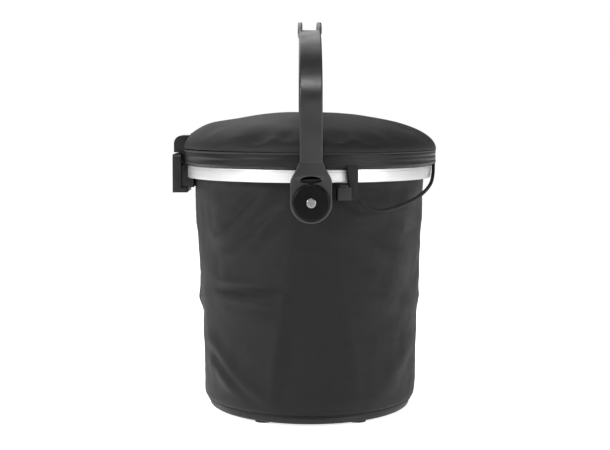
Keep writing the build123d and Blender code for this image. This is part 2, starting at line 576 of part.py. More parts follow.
with BuildPart() as mount_plate:
    with Locations((-MOUNT_OUTER, 0, MOUNT_BOTTOM)):
        Box(MOUNT_THICKNESS, 2 * MOUNT_HALF_WIDTH, MOUNT_TOP - MOUNT_BOTTOM,
            align=(Align.MIN, Align.CENTER, Align.MIN))
        Box(MOUNT_OUTER - MOUNT_FOOT_TIP, 2 * MOUNT_HALF_WIDTH, MOUNT_FOOT_THICKNESS,
            align=(Align.MIN, Align.CENTER, Align.MIN))
    fillet(mount_plate.edges().filter_by(Axis.X).group_by(Axis.Z)[-1], MOUNT_CORNER)
    with Locations((-MOUNT_OUTER + HOOD_SET_BACK, 0, MOUNT_TOP - 2)):
        Box(MOUNT_OUTER - HOOD_SET_BACK - MOUNT_BACK, 2 * HOOD_HALF_WIDTH, HOOD_TOP - MOUNT_TOP + 2,
            align=(Align.MIN, Align.CENTER, Align.MIN))
    with Locations((-MOUNT_OUTER + HOOD_SET_BACK, 0, MOUNT_TOP)):
        Box(MOUNT_OUTER - HOOD_SET_BACK - HOOD_TIP, 2 * HOOD_HALF_WIDTH, HOOD_TOP - MOUNT_TOP,
            align=(Align.MIN, Align.CENTER, Align.MIN))
    top_outer = mount_plate.edges().filter_by(Axis.Y).group_by(Axis.Z)[-1].sort_by(Axis.X)[0]
    fillet(top_outer, HOOD_CORNER)
    with Locations((-MOUNT_OUTER, 0, MOUNT_TOP - 0.5)):
        Box(MOUNT_SEAM_DEPTH, 4 * MOUNT_HALF_WIDTH, MOUNT_SEAM,
            align=(Align.MIN, Align.CENTER, Align.CENTER), mode=Mode.SUBTRACT)
    with Locations((-MOUNT_OUTER, 0, MOUNT_BOTTOM)):
        Box(2 * SOCKET_MOUTH_DEPTH, 2 * SOCKET_MOUTH_HALF, 2 * (SOCKET_TOP - MOUNT_BOTTOM),
            mode=Mode.SUBTRACT)
    with Locations((-MOUNT_OUTER + SOCKET_MOUTH_DEPTH, 0, MOUNT_BOTTOM)):
        Box(SOCKET_DEPTH - SOCKET_MOUTH_DEPTH, 2 * SOCKET_HALF, 2 * (SOCKET_TOP - MOUNT_BOTTOM),
            align=(Align.MIN, Align.CENTER, Align.CENTER), mode=Mode.SUBTRACT)
    rear_face = Plane(origin=(-mount_floor, 0, RAIL_MID), x_dir=(0, -1, 0), z_dir=(-1, 0, 0))
    with Locations(rear_face.location):
        with Locations([(s * y, 0, 0) for y in MOUNT_SCREW_Y for s in (-1, 1)]):
            CounterSinkHole(RAIL_SCREW_RADIUS + HOLE_CLEARANCE, RAIL_SCREW_HEAD + HOLE_CLEARANCE,
                            depth=20, counter_sink_angle=90)
pieces["mount_plate"] = mount_plate

with BuildPart() as mount_screws:
    with Locations(rear_face.location):
        with Locations([(s * y, 0, 0) for y in MOUNT_SCREW_Y for s in (-1, 1)]):
            add(countersunk_screw(mount_screw_length))
pieces["mount_screws"] = mount_screws

# ---- Places of the hem cord, the stopper and its button --------------------------------------
hem_cord_z = BAND_BOTTOM + HEM_CORD_RISE
stopper_x, stopper_y = rim_place(STOPPER_TURN, STOPPER_OUT)
stopper_bottom = RAIL_BOTTOM - STOPPER_DROP
button_bottom = RAIL_BOTTOM - BUTTON_DROP

# ---- Cover -------------------------------------------------------------------------------


def rear_notch(bottom, top, inset=0.0):
    """Cut the cover away around the mount's hood, or from inside the gusset's walls."""
    with Locations((-NOTCH_X + inset, 0, bottom)):
        Box(60, 2 * (NOTCH_HALF_WIDTH + inset), top - bottom,
            align=(Align.MAX, Align.CENTER, Align.MIN), mode=Mode.SUBTRACT)


hem_bottom = RAIL_TOP + FIT
with BuildPart() as lid_band:
    with BuildSketch(Plane.XY.offset(BAND_BOTTOM)):
        Ellipse(BAND_HALF_X, BAND_HALF_Y)
    extrude(amount=BAND_TOP - BAND_BOTTOM)
    with BuildSketch(Plane.XY.offset(BAND_BOTTOM)):
        Ellipse(BAND_HALF_X, BAND_HALF_Y)
    with BuildSketch(Plane.XY.offset(hem_bottom)):
        Ellipse(BAND_HALF_X - HEM_TUCK, BAND_HALF_Y - HEM_TUCK)
    loft(ruled=True)
    with BuildSketch(Plane.XY.offset(hem_bottom)):
        Ellipse(BAND_HALF_X - BAND_WIDTH, BAND_HALF_Y - BAND_WIDTH)
    extrude(amount=BAND_TOP - hem_bottom, mode=Mode.SUBTRACT)
    hem_inner = BAND_WIDTH - 2 * BAND_WALL
    with BuildSketch(Plane.XY.offset(BAND_BOTTOM + BAND_WALL)):
        oval_ring(BAND_HALF_X - BAND_WALL, BAND_HALF_Y - BAND_WALL, hem_inner)
    extrude(amount=BAND_TOP - BAND_BOTTOM - 2 * BAND_WALL, mode=Mode.SUBTRACT)
    rear_notch(RAIL_BOTTOM, HOOD_TOP, GUSSET_WALL)
    with Locations((CORD_POINTS[0][0], CORD_POINTS[0][1], RAIL_TOP)):
        Cylinder(CORD_HOLE_RADIUS, 10, mode=Mode.SUBTRACT)
pieces["lid_band"] = lid_band

with BuildPart() as hem_cord:
    with BuildSketch(Plane.XY.offset(hem_cord_z)):
        inset = BAND_WALL + (hem_inner - HEM_CORD) / 2
        oval_ring(BAND_HALF_X - inset, BAND_HALF_Y - inset, HEM_CORD)
    extrude(amount=HEM_CORD)
    rear_notch(RAIL_BOTTOM, HOOD_TOP, GUSSET_WALL)
pieces["hem_cord"] = hem_cord

with BuildPart() as lid_piping:
    with BuildSketch(Plane.XY.offset(BAND_TOP)):
        oval_ring(BAND_HALF_X, BAND_HALF_Y, PIPING)
    extrude(amount=PIPING)
    rear_notch(RAIL_BOTTOM, HOOD_TOP, GUSSET_WALL)
pieces["lid_piping"] = lid_piping


def dome_solid(wall):
    """The cover's dome as one solid, its skin moved inward by the wall."""
    radius = BAND_HALF_X - wall
    rise = DOME_RISE - wall
    with BuildPart(mode=Mode.PRIVATE) as round_dome:
        with BuildSketch(Plane.XZ):
            with BuildLine():
                Bezier((radius, 0), (radius, 0.62 * rise), (0.6 * radius, rise), (0, rise))
                Polyline((0, rise), (0, 0), (radius, 0))
            make_face()
        revolve(axis=Axis.Z)
    stretched = scale(round_dome.part, by=(1, (BAND_HALF_Y - wall) / radius, 1), mode=Mode.PRIVATE)
    return stretched.moved(Location((0, 0, DOME_BOTTOM)))


with BuildPart() as lid_dome:
    add(dome_solid(0))
    add(dome_solid(DOME_WALL), mode=Mode.SUBTRACT)
    rear_notch(RAIL_BOTTOM, DOME_BOTTOM + DOME_RISE, GUSSET_WALL)
pieces["lid_dome"] = lid_dome

# The gusset closes the cover around the mount's hood: a rear wall and two short cheeks
with BuildPart() as lid_gusset:
    with BuildSketch(Plane.XY.offset(hem_bottom)):
        Ellipse(BAND_HALF_X - HEM_TUCK, BAND_HALF_Y - HEM_TUCK)
    extrude(amount=DOME_BOTTOM - hem_bottom)
    add(dome_solid(DOME_WALL))
    with BuildPart(mode=Mode.PRIVATE) as cheeks:
        with Locations((-NOTCH_X + GUSSET_WALL, 0, hem_bottom)):
            Box(60, 2 * (NOTCH_HALF_WIDTH + GUSSET_WALL), DOME_RISE + 20,
                align=(Align.MAX, Align.CENTER, Align.MIN))
        rear_notch(RAIL_BOTTOM, RAIL_BOTTOM + 90)
    add(cheeks.part, mode=Mode.INTERSECT)
pieces["lid_gusset"] = lid_gusset

# ---- Drawcord, its stopper and the pull tab ------------------------------------------------
corner_radii = []
points = [Vector(*p) for p in CORD_POINTS]
for before, corner, after in zip(points, points[1:], points[2:]):
    turn = (corner - before).get_angle(after - corner)
    shorter = min((corner - before).length, (after - corner).length)
    half_turn = radians(turn / 2)
    corner_radii.append(0.45 * shorter * cos(half_turn) / sin(half_turn))
print("drawcord radii", [round(r, 1) for r in corner_radii])

with BuildPart() as draw_cord:
    with BuildLine() as route:
        FilletPolyline(*CORD_POINTS, radius=corner_radii)
    with BuildSketch(Plane(origin=route.wire() @ 0, z_dir=route.wire() % 0)):
        Circle(CORD_RADIUS)
    sweep()
cord_length = route.wire().length
print("drawcord length", round(cord_length, 1), "volume ratio",
      round(draw_cord.part.volume / (3.14159265 * CORD_RADIUS ** 2 * cord_length), 4))
pieces["draw_cord"] = draw_cord

stopper_plane = turned_plane(stopper_x, stopper_y, stopper_bottom, STOPPER_ANGLE)
lift_cord = STOPPER_DROP - CORD_DROP
with BuildPart() as stopper_body:
    with BuildSketch(stopper_plane):
        Rectangle(STOPPER_LENGTH, STOPPER_DEPTH)
    extrude(amount=STOPPER_HEIGHT)
    fillet(stopper_body.edges().filter_by(Axis.Z), 1.1)
    with BuildSketch(stopper_plane.offset(STOPPER_FLOOR)):
        Rectangle(BUTTON_LENGTH + 2 * BUTTON_PLAY, BUTTON_DEPTH + 2 * BUTTON_PLAY)
    extrude(amount=STOPPER_HEIGHT, mode=Mode.SUBTRACT)
    with Locations(stopper_plane.location):
        with Locations((0, 0, lift_cord)):
            Cylinder(CORD_HOLE_RADIUS, 3 * STOPPER_LENGTH, rotation=(0, 90, 0),
                     mode=Mode.SUBTRACT)
pieces["stopper_body"] = stopper_body

window_height = 2 * CORD_HOLE_RADIUS + BUTTON_TRAVEL + 0.1
with BuildPart() as stopper_button:
    with BuildSketch(stopper_plane.offset(button_bottom - stopper_bottom)):
        Rectangle(BUTTON_LENGTH, BUTTON_DEPTH)
    extrude(amount=BUTTON_HEIGHT)
    fillet(stopper_button.faces().sort_by(Axis.Z)[-1].edges(), 0.9)
    with Locations(stopper_plane.location):
        with Locations((0, 0, button_bottom - stopper_bottom + BUTTON_WEB + window_height / 2)):
            Box(3 * BUTTON_LENGTH, 2 * CORD_HOLE_RADIUS, window_height, mode=Mode.SUBTRACT)
pieces["stopper_button"] = stopper_button

spring_base = stopper_bottom + STOPPER_FLOOR
spring_height = button_bottom - spring_base
with BuildPart() as stopper_spring:
    with BuildLine() as coil:
        rise = spring_height - 2 * SPRING_WIRE - 0.1
        Helix(pitch=rise / SPRING_TURNS, height=rise, radius=SPRING_RADIUS,
              center=(stopper_x, stopper_y, spring_base + SPRING_WIRE + 0.05))
    with BuildSketch(Plane(origin=coil.wire() @ 0, z_dir=coil.wire() % 0)):
        Circle(SPRING_WIRE)
    sweep(is_frenet=True)
pieces["stopper_spring"] = stopper_spring

tab_x, tab_y = rim_place(TAB_TURN, 0)
tab_along = Vector(-RAIL_HALF_X * sin(radians(TAB_TURN)), RAIL_HALF_Y * cos(radians(TAB_TURN)), 0)
tab_out = tab_along.normalized().rotate(Axis.Z, -90)
tab_bottom = RAIL_BOTTOM - TAB_DROP
with BuildPart() as cord_tab:
    tab_plane = Plane(origin=Vector(tab_x, tab_y, 0) + tab_out * TAB_GAP, x_dir=tab_along,
                      z_dir=tab_out)
    with BuildSketch(tab_plane):
        with BuildLine():
            Polyline((-TAB_TOP_WIDTH / 2, BAND_BOTTOM + TAB_OVERLAP),
                     (-TAB_BOTTOM_WIDTH / 2, tab_bottom),
                     (TAB_BOTTOM_WIDTH / 2, tab_bottom), (TAB_TOP_WIDTH / 2, BAND_BOTTOM + TAB_OVERLAP),
                     close=True)
        make_face()
    extrude(amount=TAB_THICKNESS)
    add(lid_band.part, mode=Mode.SUBTRACT)
    with BuildSketch(Plane.XY.offset(BAND_BOTTOM)):
        Ellipse(BAND_HALF_X - 1, BAND_HALF_Y - 1)
    extrude(amount=BAND_TOP - BAND_BOTTOM, mode=Mode.SUBTRACT)
pieces["cord_tab"] = cord_tab

# ---- Write the pieces ----------------------------------------------------------------------
os.makedirs("parts", exist_ok=True)
for name, builder in pieces.items():
    builder.part.label = name
    export_step(builder.part, f"parts/{name}.step")
print(len(pieces), "nodes")
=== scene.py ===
import logging
import math
from dataclasses import dataclass
from enum import Enum
from functools import lru_cache
from typing import Callable, Sequence

import bmesh
import bpy
from mathutils import Matrix, Vector, noise


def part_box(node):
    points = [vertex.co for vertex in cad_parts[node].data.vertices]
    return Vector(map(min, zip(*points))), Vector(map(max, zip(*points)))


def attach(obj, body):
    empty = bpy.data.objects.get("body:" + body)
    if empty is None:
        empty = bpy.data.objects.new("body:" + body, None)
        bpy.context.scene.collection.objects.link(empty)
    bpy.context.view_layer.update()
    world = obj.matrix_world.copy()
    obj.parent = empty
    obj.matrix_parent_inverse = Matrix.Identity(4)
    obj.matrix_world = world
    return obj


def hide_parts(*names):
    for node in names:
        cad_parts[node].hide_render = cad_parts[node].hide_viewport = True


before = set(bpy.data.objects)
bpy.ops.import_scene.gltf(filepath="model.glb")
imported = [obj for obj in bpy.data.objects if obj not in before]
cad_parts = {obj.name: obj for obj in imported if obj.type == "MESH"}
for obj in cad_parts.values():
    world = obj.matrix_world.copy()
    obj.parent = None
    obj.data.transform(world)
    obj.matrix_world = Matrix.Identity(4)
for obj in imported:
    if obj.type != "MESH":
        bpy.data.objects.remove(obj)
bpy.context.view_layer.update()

logging.basicConfig(level=logging.INFO, format="%(message)s")
log = logging.getLogger("handlebar_basket")

MM = 0.001
Place = Callable[[float, float], tuple[float, float, float]]
Point = tuple[float, float, float]


class Body(Enum):
    """The moving bodies of the basket."""

    FRAME = "frame"
    HANDLE = "handle"
    COVER = "cover"
    BUTTON = "stopper_button"


class Side(Enum):
    """The two sides of the basket that carry a handle pivot."""

    NEAR = -1
    FAR = 1


# ---------------------------------------------------------------------------------------
# Small modelling helpers
# ---------------------------------------------------------------------------------------


@lru_cache(maxsize=None)
def box(node: str) -> tuple[Point, Point]:
    """A CAD node's box, its lower and upper corners in metres, measured once."""
    low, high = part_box(node)
    return tuple(low), tuple(high)


def deselect() -> None:
    """Leave nothing selected, in object mode."""
    if bpy.context.object and bpy.context.object.mode != "OBJECT":
        bpy.ops.object.mode_set(mode="OBJECT")
    bpy.ops.object.select_all(action="DESELECT")


def activate(obj: bpy.types.Object) -> None:
    """Select one object alone and make it the active one.

    Args:
        obj: the piece.
    """
    deselect()
    obj.select_set(True)
    bpy.context.view_layer.objects.active = obj


def smooth(obj: bpy.types.Object, angle: float = 40.0) -> None:
    """Shade smooth up to an angle.

    Args:
        obj: the mesh object.
        angle: edges sharper than this many degrees stay sharp.
    """
    activate(obj)
    bpy.ops.object.shade_smooth_by_angle(angle=math.radians(angle))


def face_outward(obj: bpy.types.Object) -> None:
    """Merge doubles and recalculate normals to point outward.

    Args:
        obj: the piece.
    """
    activate(obj)
    bpy.ops.object.mode_set(mode="EDIT")
    bpy.ops.mesh.select_all(action="SELECT")
    bpy.ops.mesh.remove_doubles(threshold=1e-6)
    bpy.ops.mesh.normals_make_consistent(inside=False)
    bpy.ops.object.mode_set(mode="OBJECT")


def apply_modifier(obj: bpy.types.Object, kind: str, **values: object) -> None:
    """Add a modifier, set its values and apply it.

    Args:
        obj: the mesh object.
        kind: the modifier's type.
        values: attribute names and their values.
    """
    activate(obj)
    modifier = obj.modifiers.new(kind.title(), kind)
    for name, value in values.items():
        setattr(modifier, name, value)
    bpy.ops.object.modifier_apply(modifier=modifier.name)


def write_uv(obj: bpy.types.Object, chart: dict[int, tuple[float, float]], wrap: float) -> None:
    """Write a UV map in metres from each vertex's own chart place.

    Args:
        obj: the mesh object.
        chart: vertex index to (u, v) in metres.
        wrap: the length of u once round, or 0 for an open sheet.
    """
    mesh = obj.data
    layer = mesh.uv_layers.get("UVMap") or mesh.uv_layers.new(name="UVMap")
    for polygon in mesh.polygons:
        places = [chart[mesh.loops[i].vertex_index] for i in polygon.loop_indices]
        highest = max(u for u, _ in places)
        for loop, (u, v) in zip(polygon.loop_indices, places):
            if wrap and highest - u > wrap / 2:
                u += wrap
            layer.data[loop].uv = (u, v)


def tube(name: str, around: int, rows: int, place: Place, size: tuple[float, float],
         ends: str = "NOTHING") -> bpy.types.Object:
    """A cylinder primitive cut into rows, each vertex then moved to its place.

    Args:
        name: the piece's name.
        around: vertices round the tube.
        rows: rows of faces along it.
        place: gives a point from (fraction round, fraction along).
        size: girth and length in metres, for the UV map.
        ends: the primitive's end fill type.

    Returns:
        The new mesh object, its normals outward.
    """
    deselect()
    bpy.ops.mesh.primitive_cylinder_add(vertices=around, radius=1, depth=2, end_fill_type=ends)
    obj = bpy.context.object
    obj.name = name
    obj.data.name = name
    bpy.ops.object.mode_set(mode="EDIT")
    mesh = bmesh.from_edit_mesh(obj.data)
    for edge in mesh.edges:
        edge.select = abs(edge.verts[0].co.z - edge.verts[1].co.z) > 1
    bmesh.update_edit_mesh(obj.data)
    bpy.ops.mesh.subdivide(number_cuts=rows - 1)
    bpy.ops.object.mode_set(mode="OBJECT")
    chart = {}
    for vertex in obj.data.vertices:
        turn = (math.atan2(vertex.co.y, vertex.co.x) / math.tau) % 1.0
        turn = round(turn * around) / around % 1.0
        along = (vertex.co.z + 1) / 2
        chart[vertex.index] = (turn * size[0], along * size[1])
        vertex.co = place(turn, along)
    write_uv(obj, chart, size[0])
    face_outward(obj)
    return obj


def ring(name: str, around: int, profile: Sequence[tuple[float, float]], half_x: float,
         half_y: float, stir: Callable[[Vector, int], Vector] | None = None) -> bpy.types.Object:
    """A torus primitive moved onto an oval, its section a closed profile.

    Args:
        name: the piece's name.
        around: steps round the oval, 256 at most.
        profile: closed points (distance inward from the oval, height), in metres.
        half_x: the oval's half-axis along X.
        half_y: the oval's half-axis along Y.
        stir: moves a point, given the point and its number in the profile.

    Returns:
        The new mesh object, its normals outward.
    """
    deselect()
    bpy.ops.mesh.primitive_torus_add(major_segments=around, minor_segments=len(profile))
    obj = bpy.context.object
    obj.name = name
    obj.data.name = name
    girth = math.tau * math.sqrt((half_x ** 2 + half_y ** 2) / 2)
    steps = [0.0]
    for before, after in zip(profile, profile[1:]):
        steps.append(steps[-1] + math.dist(before, after))
    chart = {}
    for vertex in obj.data.vertices:
        i, j = divmod(vertex.index, len(profile))
        angle = math.tau * i / around
        inward, height = profile[j]
        point = Vector(((half_x - inward) * math.cos(angle),
                        (half_y - inward) * math.sin(angle), height))
        vertex.co = stir(point, j) if stir else point
        chart[vertex.index] = (i / around * girth, steps[j])
    write_uv(obj, chart, girth)
    face_outward(obj)
    return obj


def rounded_box_profile(left: float, right: float, low: float, high: float, radius: float,
                        arc: int = 4) -> list[tuple[float, float]]:
    """The closed outline of a rectangle with round corners, counter-clockwise.

    Args:
        left: the first coordinate's lower limit.
        right: its upper limit.
        low: the second coordinate's lower limit.
        high: its upper limit.
        radius: the corner radius.
        arc: steps in each corner.

    Returns:
        The outline's points.
    """
    corners = ((right - radius, low + radius, -90), (right - radius, high - radius, 0),
               (left + radius, high - radius, 90), (left + radius, low + radius, 180))
    points = []
    for x, y, start in corners:
        for step in range(arc + 1):
            angle = math.radians(start + 90 * step / arc)
            points.append((x + radius * math.cos(angle), y + radius * math.sin(angle)))
    return points


def close_centre(obj: bpy.types.Object, radius: float, top: float = math.inf) -> None:
    """Fill the small hole round a shell's axis and turn its faces outward.

    Args:
        obj: the shell.
        radius: how far from the axis the hole's edge may be.
        top: how high the hole's edge may be.
    """
    activate(obj)
    bpy.ops.object.mode_set(mode="EDIT")
    bpy.ops.mesh.select_all(action="DESELECT")
    bpy.ops.mesh.select_mode(type="VERT")
    mesh = bmesh.from_edit_mesh(obj.data)
    for vertex in mesh.verts:
        vertex.select = vertex.co.xy.length < radius and vertex.co.z < top
    mesh.select_flush(True)
    bmesh.update_edit_mesh(obj.data)
    bpy.ops.mesh.edge_face_add()
    bpy.ops.mesh.select_all(action="SELECT")
    bpy.ops.mesh.normals_make_consistent(inside=False)
    bpy.ops.object.mode_set(mode="OBJECT")


def soft_copy(node: str, width: float, segments: int = 3,
              body: Body = Body.FRAME) -> bpy.types.Object:
    """A CAD node's copy with its edges rounded, which stands for the node.

    Args:
        node: the CAD node.
        width: the bevel's width in metres.
        segments: the bevel's segments.
        body: the body that it rides on.

    Returns:
        The new piece.
    """
    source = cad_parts[node]
    obj = bpy.data.objects.new(f"{node}_piece", source.data.copy())
    bpy.context.scene.collection.objects.link(obj)
    obj.matrix_world = source.matrix_world.copy()
    activate(obj)
    bpy.ops.object.transform_apply(location=True, rotation=True, scale=True)
    bpy.ops.object.mode_set(mode="EDIT")
    bpy.ops.mesh.select_all(action="SELECT")
    bpy.ops.mesh.remove_doubles(threshold=2e-6)
    bpy.ops.mesh.dissolve_limited(angle_limit=math.radians(1.0))
    bpy.ops.object.mode_set(mode="OBJECT")
    apply_modifier(obj, "BEVEL", width=width, segments=segments, limit_method="ANGLE",
                   angle_limit=math.radians(38), harden_normals=False, use_clamp_overlap=True)
    smooth(obj, 35)
    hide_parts(node)
    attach(obj, body.value)
    return obj


def dress(obj: bpy.types.Object, material: bpy.types.Material) -> None:
    """Give a piece its one material, set on each of its slots.

    Args:
        obj: the piece or CAD node.
        material: its material.
    """
    if obj.type == "MESH" and not obj.data.materials:
        obj.data.materials.append(material)
    for place in obj.material_slots:
        place.link = "OBJECT"
        place.material = material


# ---------------------------------------------------------------------------------------
# Finishes
# ---------------------------------------------------------------------------------------


class Nodes:
    """A node tree under construction."""

    def __init__(self, tree: bpy.types.NodeTree) -> None:
        """Start on a tree."""
        self.tree = tree

    def add(self, kind: str, **values: object) -> bpy.types.Node:
        """A new node, with attributes set.

        Args:
            kind: the node's type.
            values: attribute names and values.

        Returns:
            The node.
        """
        node = self.tree.nodes.new(kind)
        for name, value in values.items():
            setattr(node, name, value)
        return node

    def feed(self, node: bpy.types.Node, **sources: object) -> bpy.types.Node:
        """Link or set a node's inputs.

        Args:
            node: the node.
            sources: input names, with _ for a space or i0, i1 by number, and what feeds them.

        Returns:
            The same node.
        """
        for name, source in sources.items():
            key = int(name[1:]) if name[0] == "i" and name[1:].isdigit() else name.replace("_", " ")
            if isinstance(source, bpy.types.NodeSocket):
                self.tree.links.new(source, node.inputs[key])
            else:
                node.inputs[key].default_value = source
        return node

    def math(self, operation: str, *sources: object) -> bpy.types.NodeSocket:
        """A math node's result."""
        node = self.add("ShaderNodeMath", operation=operation)
        self.feed(node, **{f"i{i}": source for i, source in enumerate(sources)})
        return node.outputs[0]

    def noise(self, vector: object, scale: float, detail: float = 3.0,
              roughness: float = 0.5) -> bpy.types.NodeSocket:
        """A noise texture's value."""
        node = self.add("ShaderNodeTexNoise")
        self.feed(node, Vector=vector, Scale=scale, Detail=detail, Roughness=roughness)
        return node.outputs["Fac"]

    def stretch(self, vector: object, scale: Point) -> bpy.types.NodeSocket:
        """The vector with each axis scaled."""
        node = self.add("ShaderNodeMapping")
        self.feed(node, Vector=vector, Scale=scale)
        return node.outputs["Vector"]

    def ramp(self, value: object, low: float, high: float, out_low: float,
             out_high: float) -> bpy.types.NodeSocket:
        """A value's range mapped to another."""
        node = self.add("ShaderNodeMapRange", clamp=True)
        self.feed(node, Value=value, From_Min=low, From_Max=high, To_Min=out_low, To_Max=out_high)
        return node.outputs["Result"]


def new_group(name: str, inputs: dict[str, str],
              outputs: dict[str, str]) -> tuple[Nodes, bpy.types.Node, bpy.types.Node]:
    """An empty node group with named sockets.

    Args:
        name: the group's name.
        inputs: input names and socket types.
        outputs: output names and socket types.

    Returns:
        The tree's helper, its input node and its output node.
    """
    tree = bpy.data.node_groups.new(name, "ShaderNodeTree")
    for label, kind in inputs.items():
        tree.interface.new_socket(name=label, in_out="INPUT", socket_type=kind)
    for label, kind in outputs.items():
        tree.interface.new_socket(name=label, in_out="OUTPUT", socket_type=kind)
    nodes = Nodes(tree)
    return nodes, nodes.add("NodeGroupInput"), nodes.add("NodeGroupOutput")


def weave_group() -> bpy.types.NodeTree:
    """A plain weave from a map in metres: thread height, and a mask of thread tint."""
    nodes, source, result = new_group(
        "plain_weave", {"Vector": "NodeSocketVector", "Threads": "NodeSocketFloat"},
        {"Height": "NodeSocketFloat", "Tint": "NodeSocketFloat"})
    scaled = nodes.add("ShaderNodeVectorMath", operation="SCALE")
    nodes.feed(scaled, i0=source.outputs["Vector"])
    nodes.tree.links.new(source.outputs["Threads"], scaled.inputs["Scale"])
    split = nodes.add("ShaderNodeSeparateXYZ")
    nodes.feed(split, Vector=scaled.outputs[0])
    warp_turn = nodes.math("MULTIPLY", split.outputs[0], math.pi)
    warp = nodes.math("ABSOLUTE", nodes.math("SINE", warp_turn))
    weft_turn = nodes.math("MULTIPLY", split.outputs[1], math.pi)
    weft = nodes.math("ABSOLUTE", nodes.math("SINE", weft_turn))
    check = nodes.add("ShaderNodeTexChecker")
    nodes.feed(check, Vector=scaled.outputs[0], Scale=1.0)
    over = nodes.math("MULTIPLY", warp, nodes.ramp(check.outputs["Fac"], 0, 1, 0.55, 1.0))
    under = nodes.math("MULTIPLY", weft, nodes.ramp(check.outputs["Fac"], 0, 1, 1.0, 0.55))
    height = nodes.math("MAXIMUM", over, under)
    slub = nodes.noise(nodes.stretch(source.outputs["Vector"], (60, 900, 60)), 1.0, 2.0)
    nodes.tree.links.new(height, result.inputs["Height"])
    nodes.tree.links.new(nodes.ramp(slub, 0.3, 0.7, 0, 1), result.inputs["Tint"])
    return nodes.tree


def grain_group() -> bpy.types.NodeTree:
    """Moulded plastic's fine grain: its height, and a mask of handling marks."""
    nodes, source, result = new_group(
        "moulded_grain", {"Vector": "NodeSocketVector", "Size": "NodeSocketFloat"},
        {"Height": "NodeSocketFloat", "Marks": "NodeSocketFloat"})
    scaled = nodes.add("ShaderNodeVectorMath", operation="SCALE")
    nodes.feed(scaled, i0=source.outputs["Vector"])
    nodes.tree.links.new(source.outputs["Size"], scaled.inputs["Scale"])
    fine = nodes.noise(scaled.outputs[0], 1.0, 2.0, 0.6)
    broad = nodes.noise(source.outputs["Vector"], 45.0, 5.0, 0.6)
    nodes.tree.links.new(fine, result.inputs["Height"])
    nodes.tree.links.new(nodes.ramp(broad, 0.4, 0.75, 0, 1), result.inputs["Marks"])
    return nodes.tree


WEAVE = weave_group()
GRAIN = grain_group()


@dataclass(frozen=True)
class Cloth:
    """A woven finish, its threads counted per metre."""

    name: str
    colour: Point
    threads: float
    roughness: float
    relief: float = 0.00012
    sheen: float = 0.25
    tint: float = 0.25

    def make(self) -> bpy.types.Material:
        """The material."""
        material = bpy.data.materials.new(self.name)
        material.use_nodes = True
        nodes = Nodes(material.node_tree)
        shader = material.node_tree.nodes["Principled BSDF"]
        chart = nodes.add("ShaderNodeTexCoord")
        weave = nodes.add("ShaderNodeGroup", node_tree=WEAVE)
        nodes.feed(weave, Vector=chart.outputs["UV"], Threads=self.threads)
        cloud = nodes.noise(chart.outputs["Object"], 14.0, 4.0, 0.6)
        mix = nodes.add("ShaderNodeMix", data_type="RGBA", blend_type="MIX")
        dark = tuple(value * (1 - self.tint) for value in self.colour) + (1,)
        light = tuple(value * (1 + self.tint) for value in self.colour) + (1,)
        share = nodes.math("ADD", nodes.math("MULTIPLY", weave.outputs["Tint"], 0.45),
                           nodes.math("MULTIPLY", nodes.ramp(cloud, 0.3, 0.7, 0, 1), 0.55))
        nodes.feed(mix, i0=share, i6=dark, i7=light)
        bump = nodes.add("ShaderNodeBump")
        nodes.feed(bump, Height=weave.outputs["Height"], Distance=self.relief, Strength=0.9)
        rough = nodes.ramp(cloud, 0.2, 0.8, self.roughness - 0.06, self.roughness + 0.06)
        nodes.feed(shader, Base_Color=mix.outputs[2], Roughness=rough, Normal=bump.outputs[0])
        nodes.feed(shader, Sheen_Weight=self.sheen, Sheen_Roughness=0.4, Specular_IOR_Level=0.22)
        return material


@dataclass(frozen=True)
class Plastic:
    """A moulded finish with grain and handling marks."""

    name: str
    colour: Point
    roughness: float
    grain: float = 1500.0
    relief: float = 0.00006
    specular: float = 0.32

    def make(self) -> bpy.types.Material:
        """The material."""
        material = bpy.data.materials.new(self.name)
        material.use_nodes = True
        nodes = Nodes(material.node_tree)
        shader = material.node_tree.nodes["Principled BSDF"]
        chart = nodes.add("ShaderNodeTexCoord")
        grain = nodes.add("ShaderNodeGroup", node_tree=GRAIN)
        nodes.feed(grain, Vector=chart.outputs["Object"], Size=self.grain)
        mix = nodes.add("ShaderNodeMix", data_type="RGBA", blend_type="MIX")
        plain = self.colour + (1,)
        worn = tuple(value * 1.35 + 0.002 for value in self.colour) + (1,)
        nodes.feed(mix, i0=grain.outputs["Marks"], i6=plain, i7=worn)
        bump = nodes.add("ShaderNodeBump")
        nodes.feed(bump, Height=grain.outputs["Height"], Distance=self.relief, Strength=0.8)
        rough = nodes.ramp(grain.outputs["Marks"], 0, 1, self.roughness, self.roughness + 0.1)
        nodes.feed(shader, Base_Color=mix.outputs[2], Roughness=rough, Normal=bump.outputs[0])
        nodes.feed(shader, Specular_IOR_Level=self.specular)
        return material


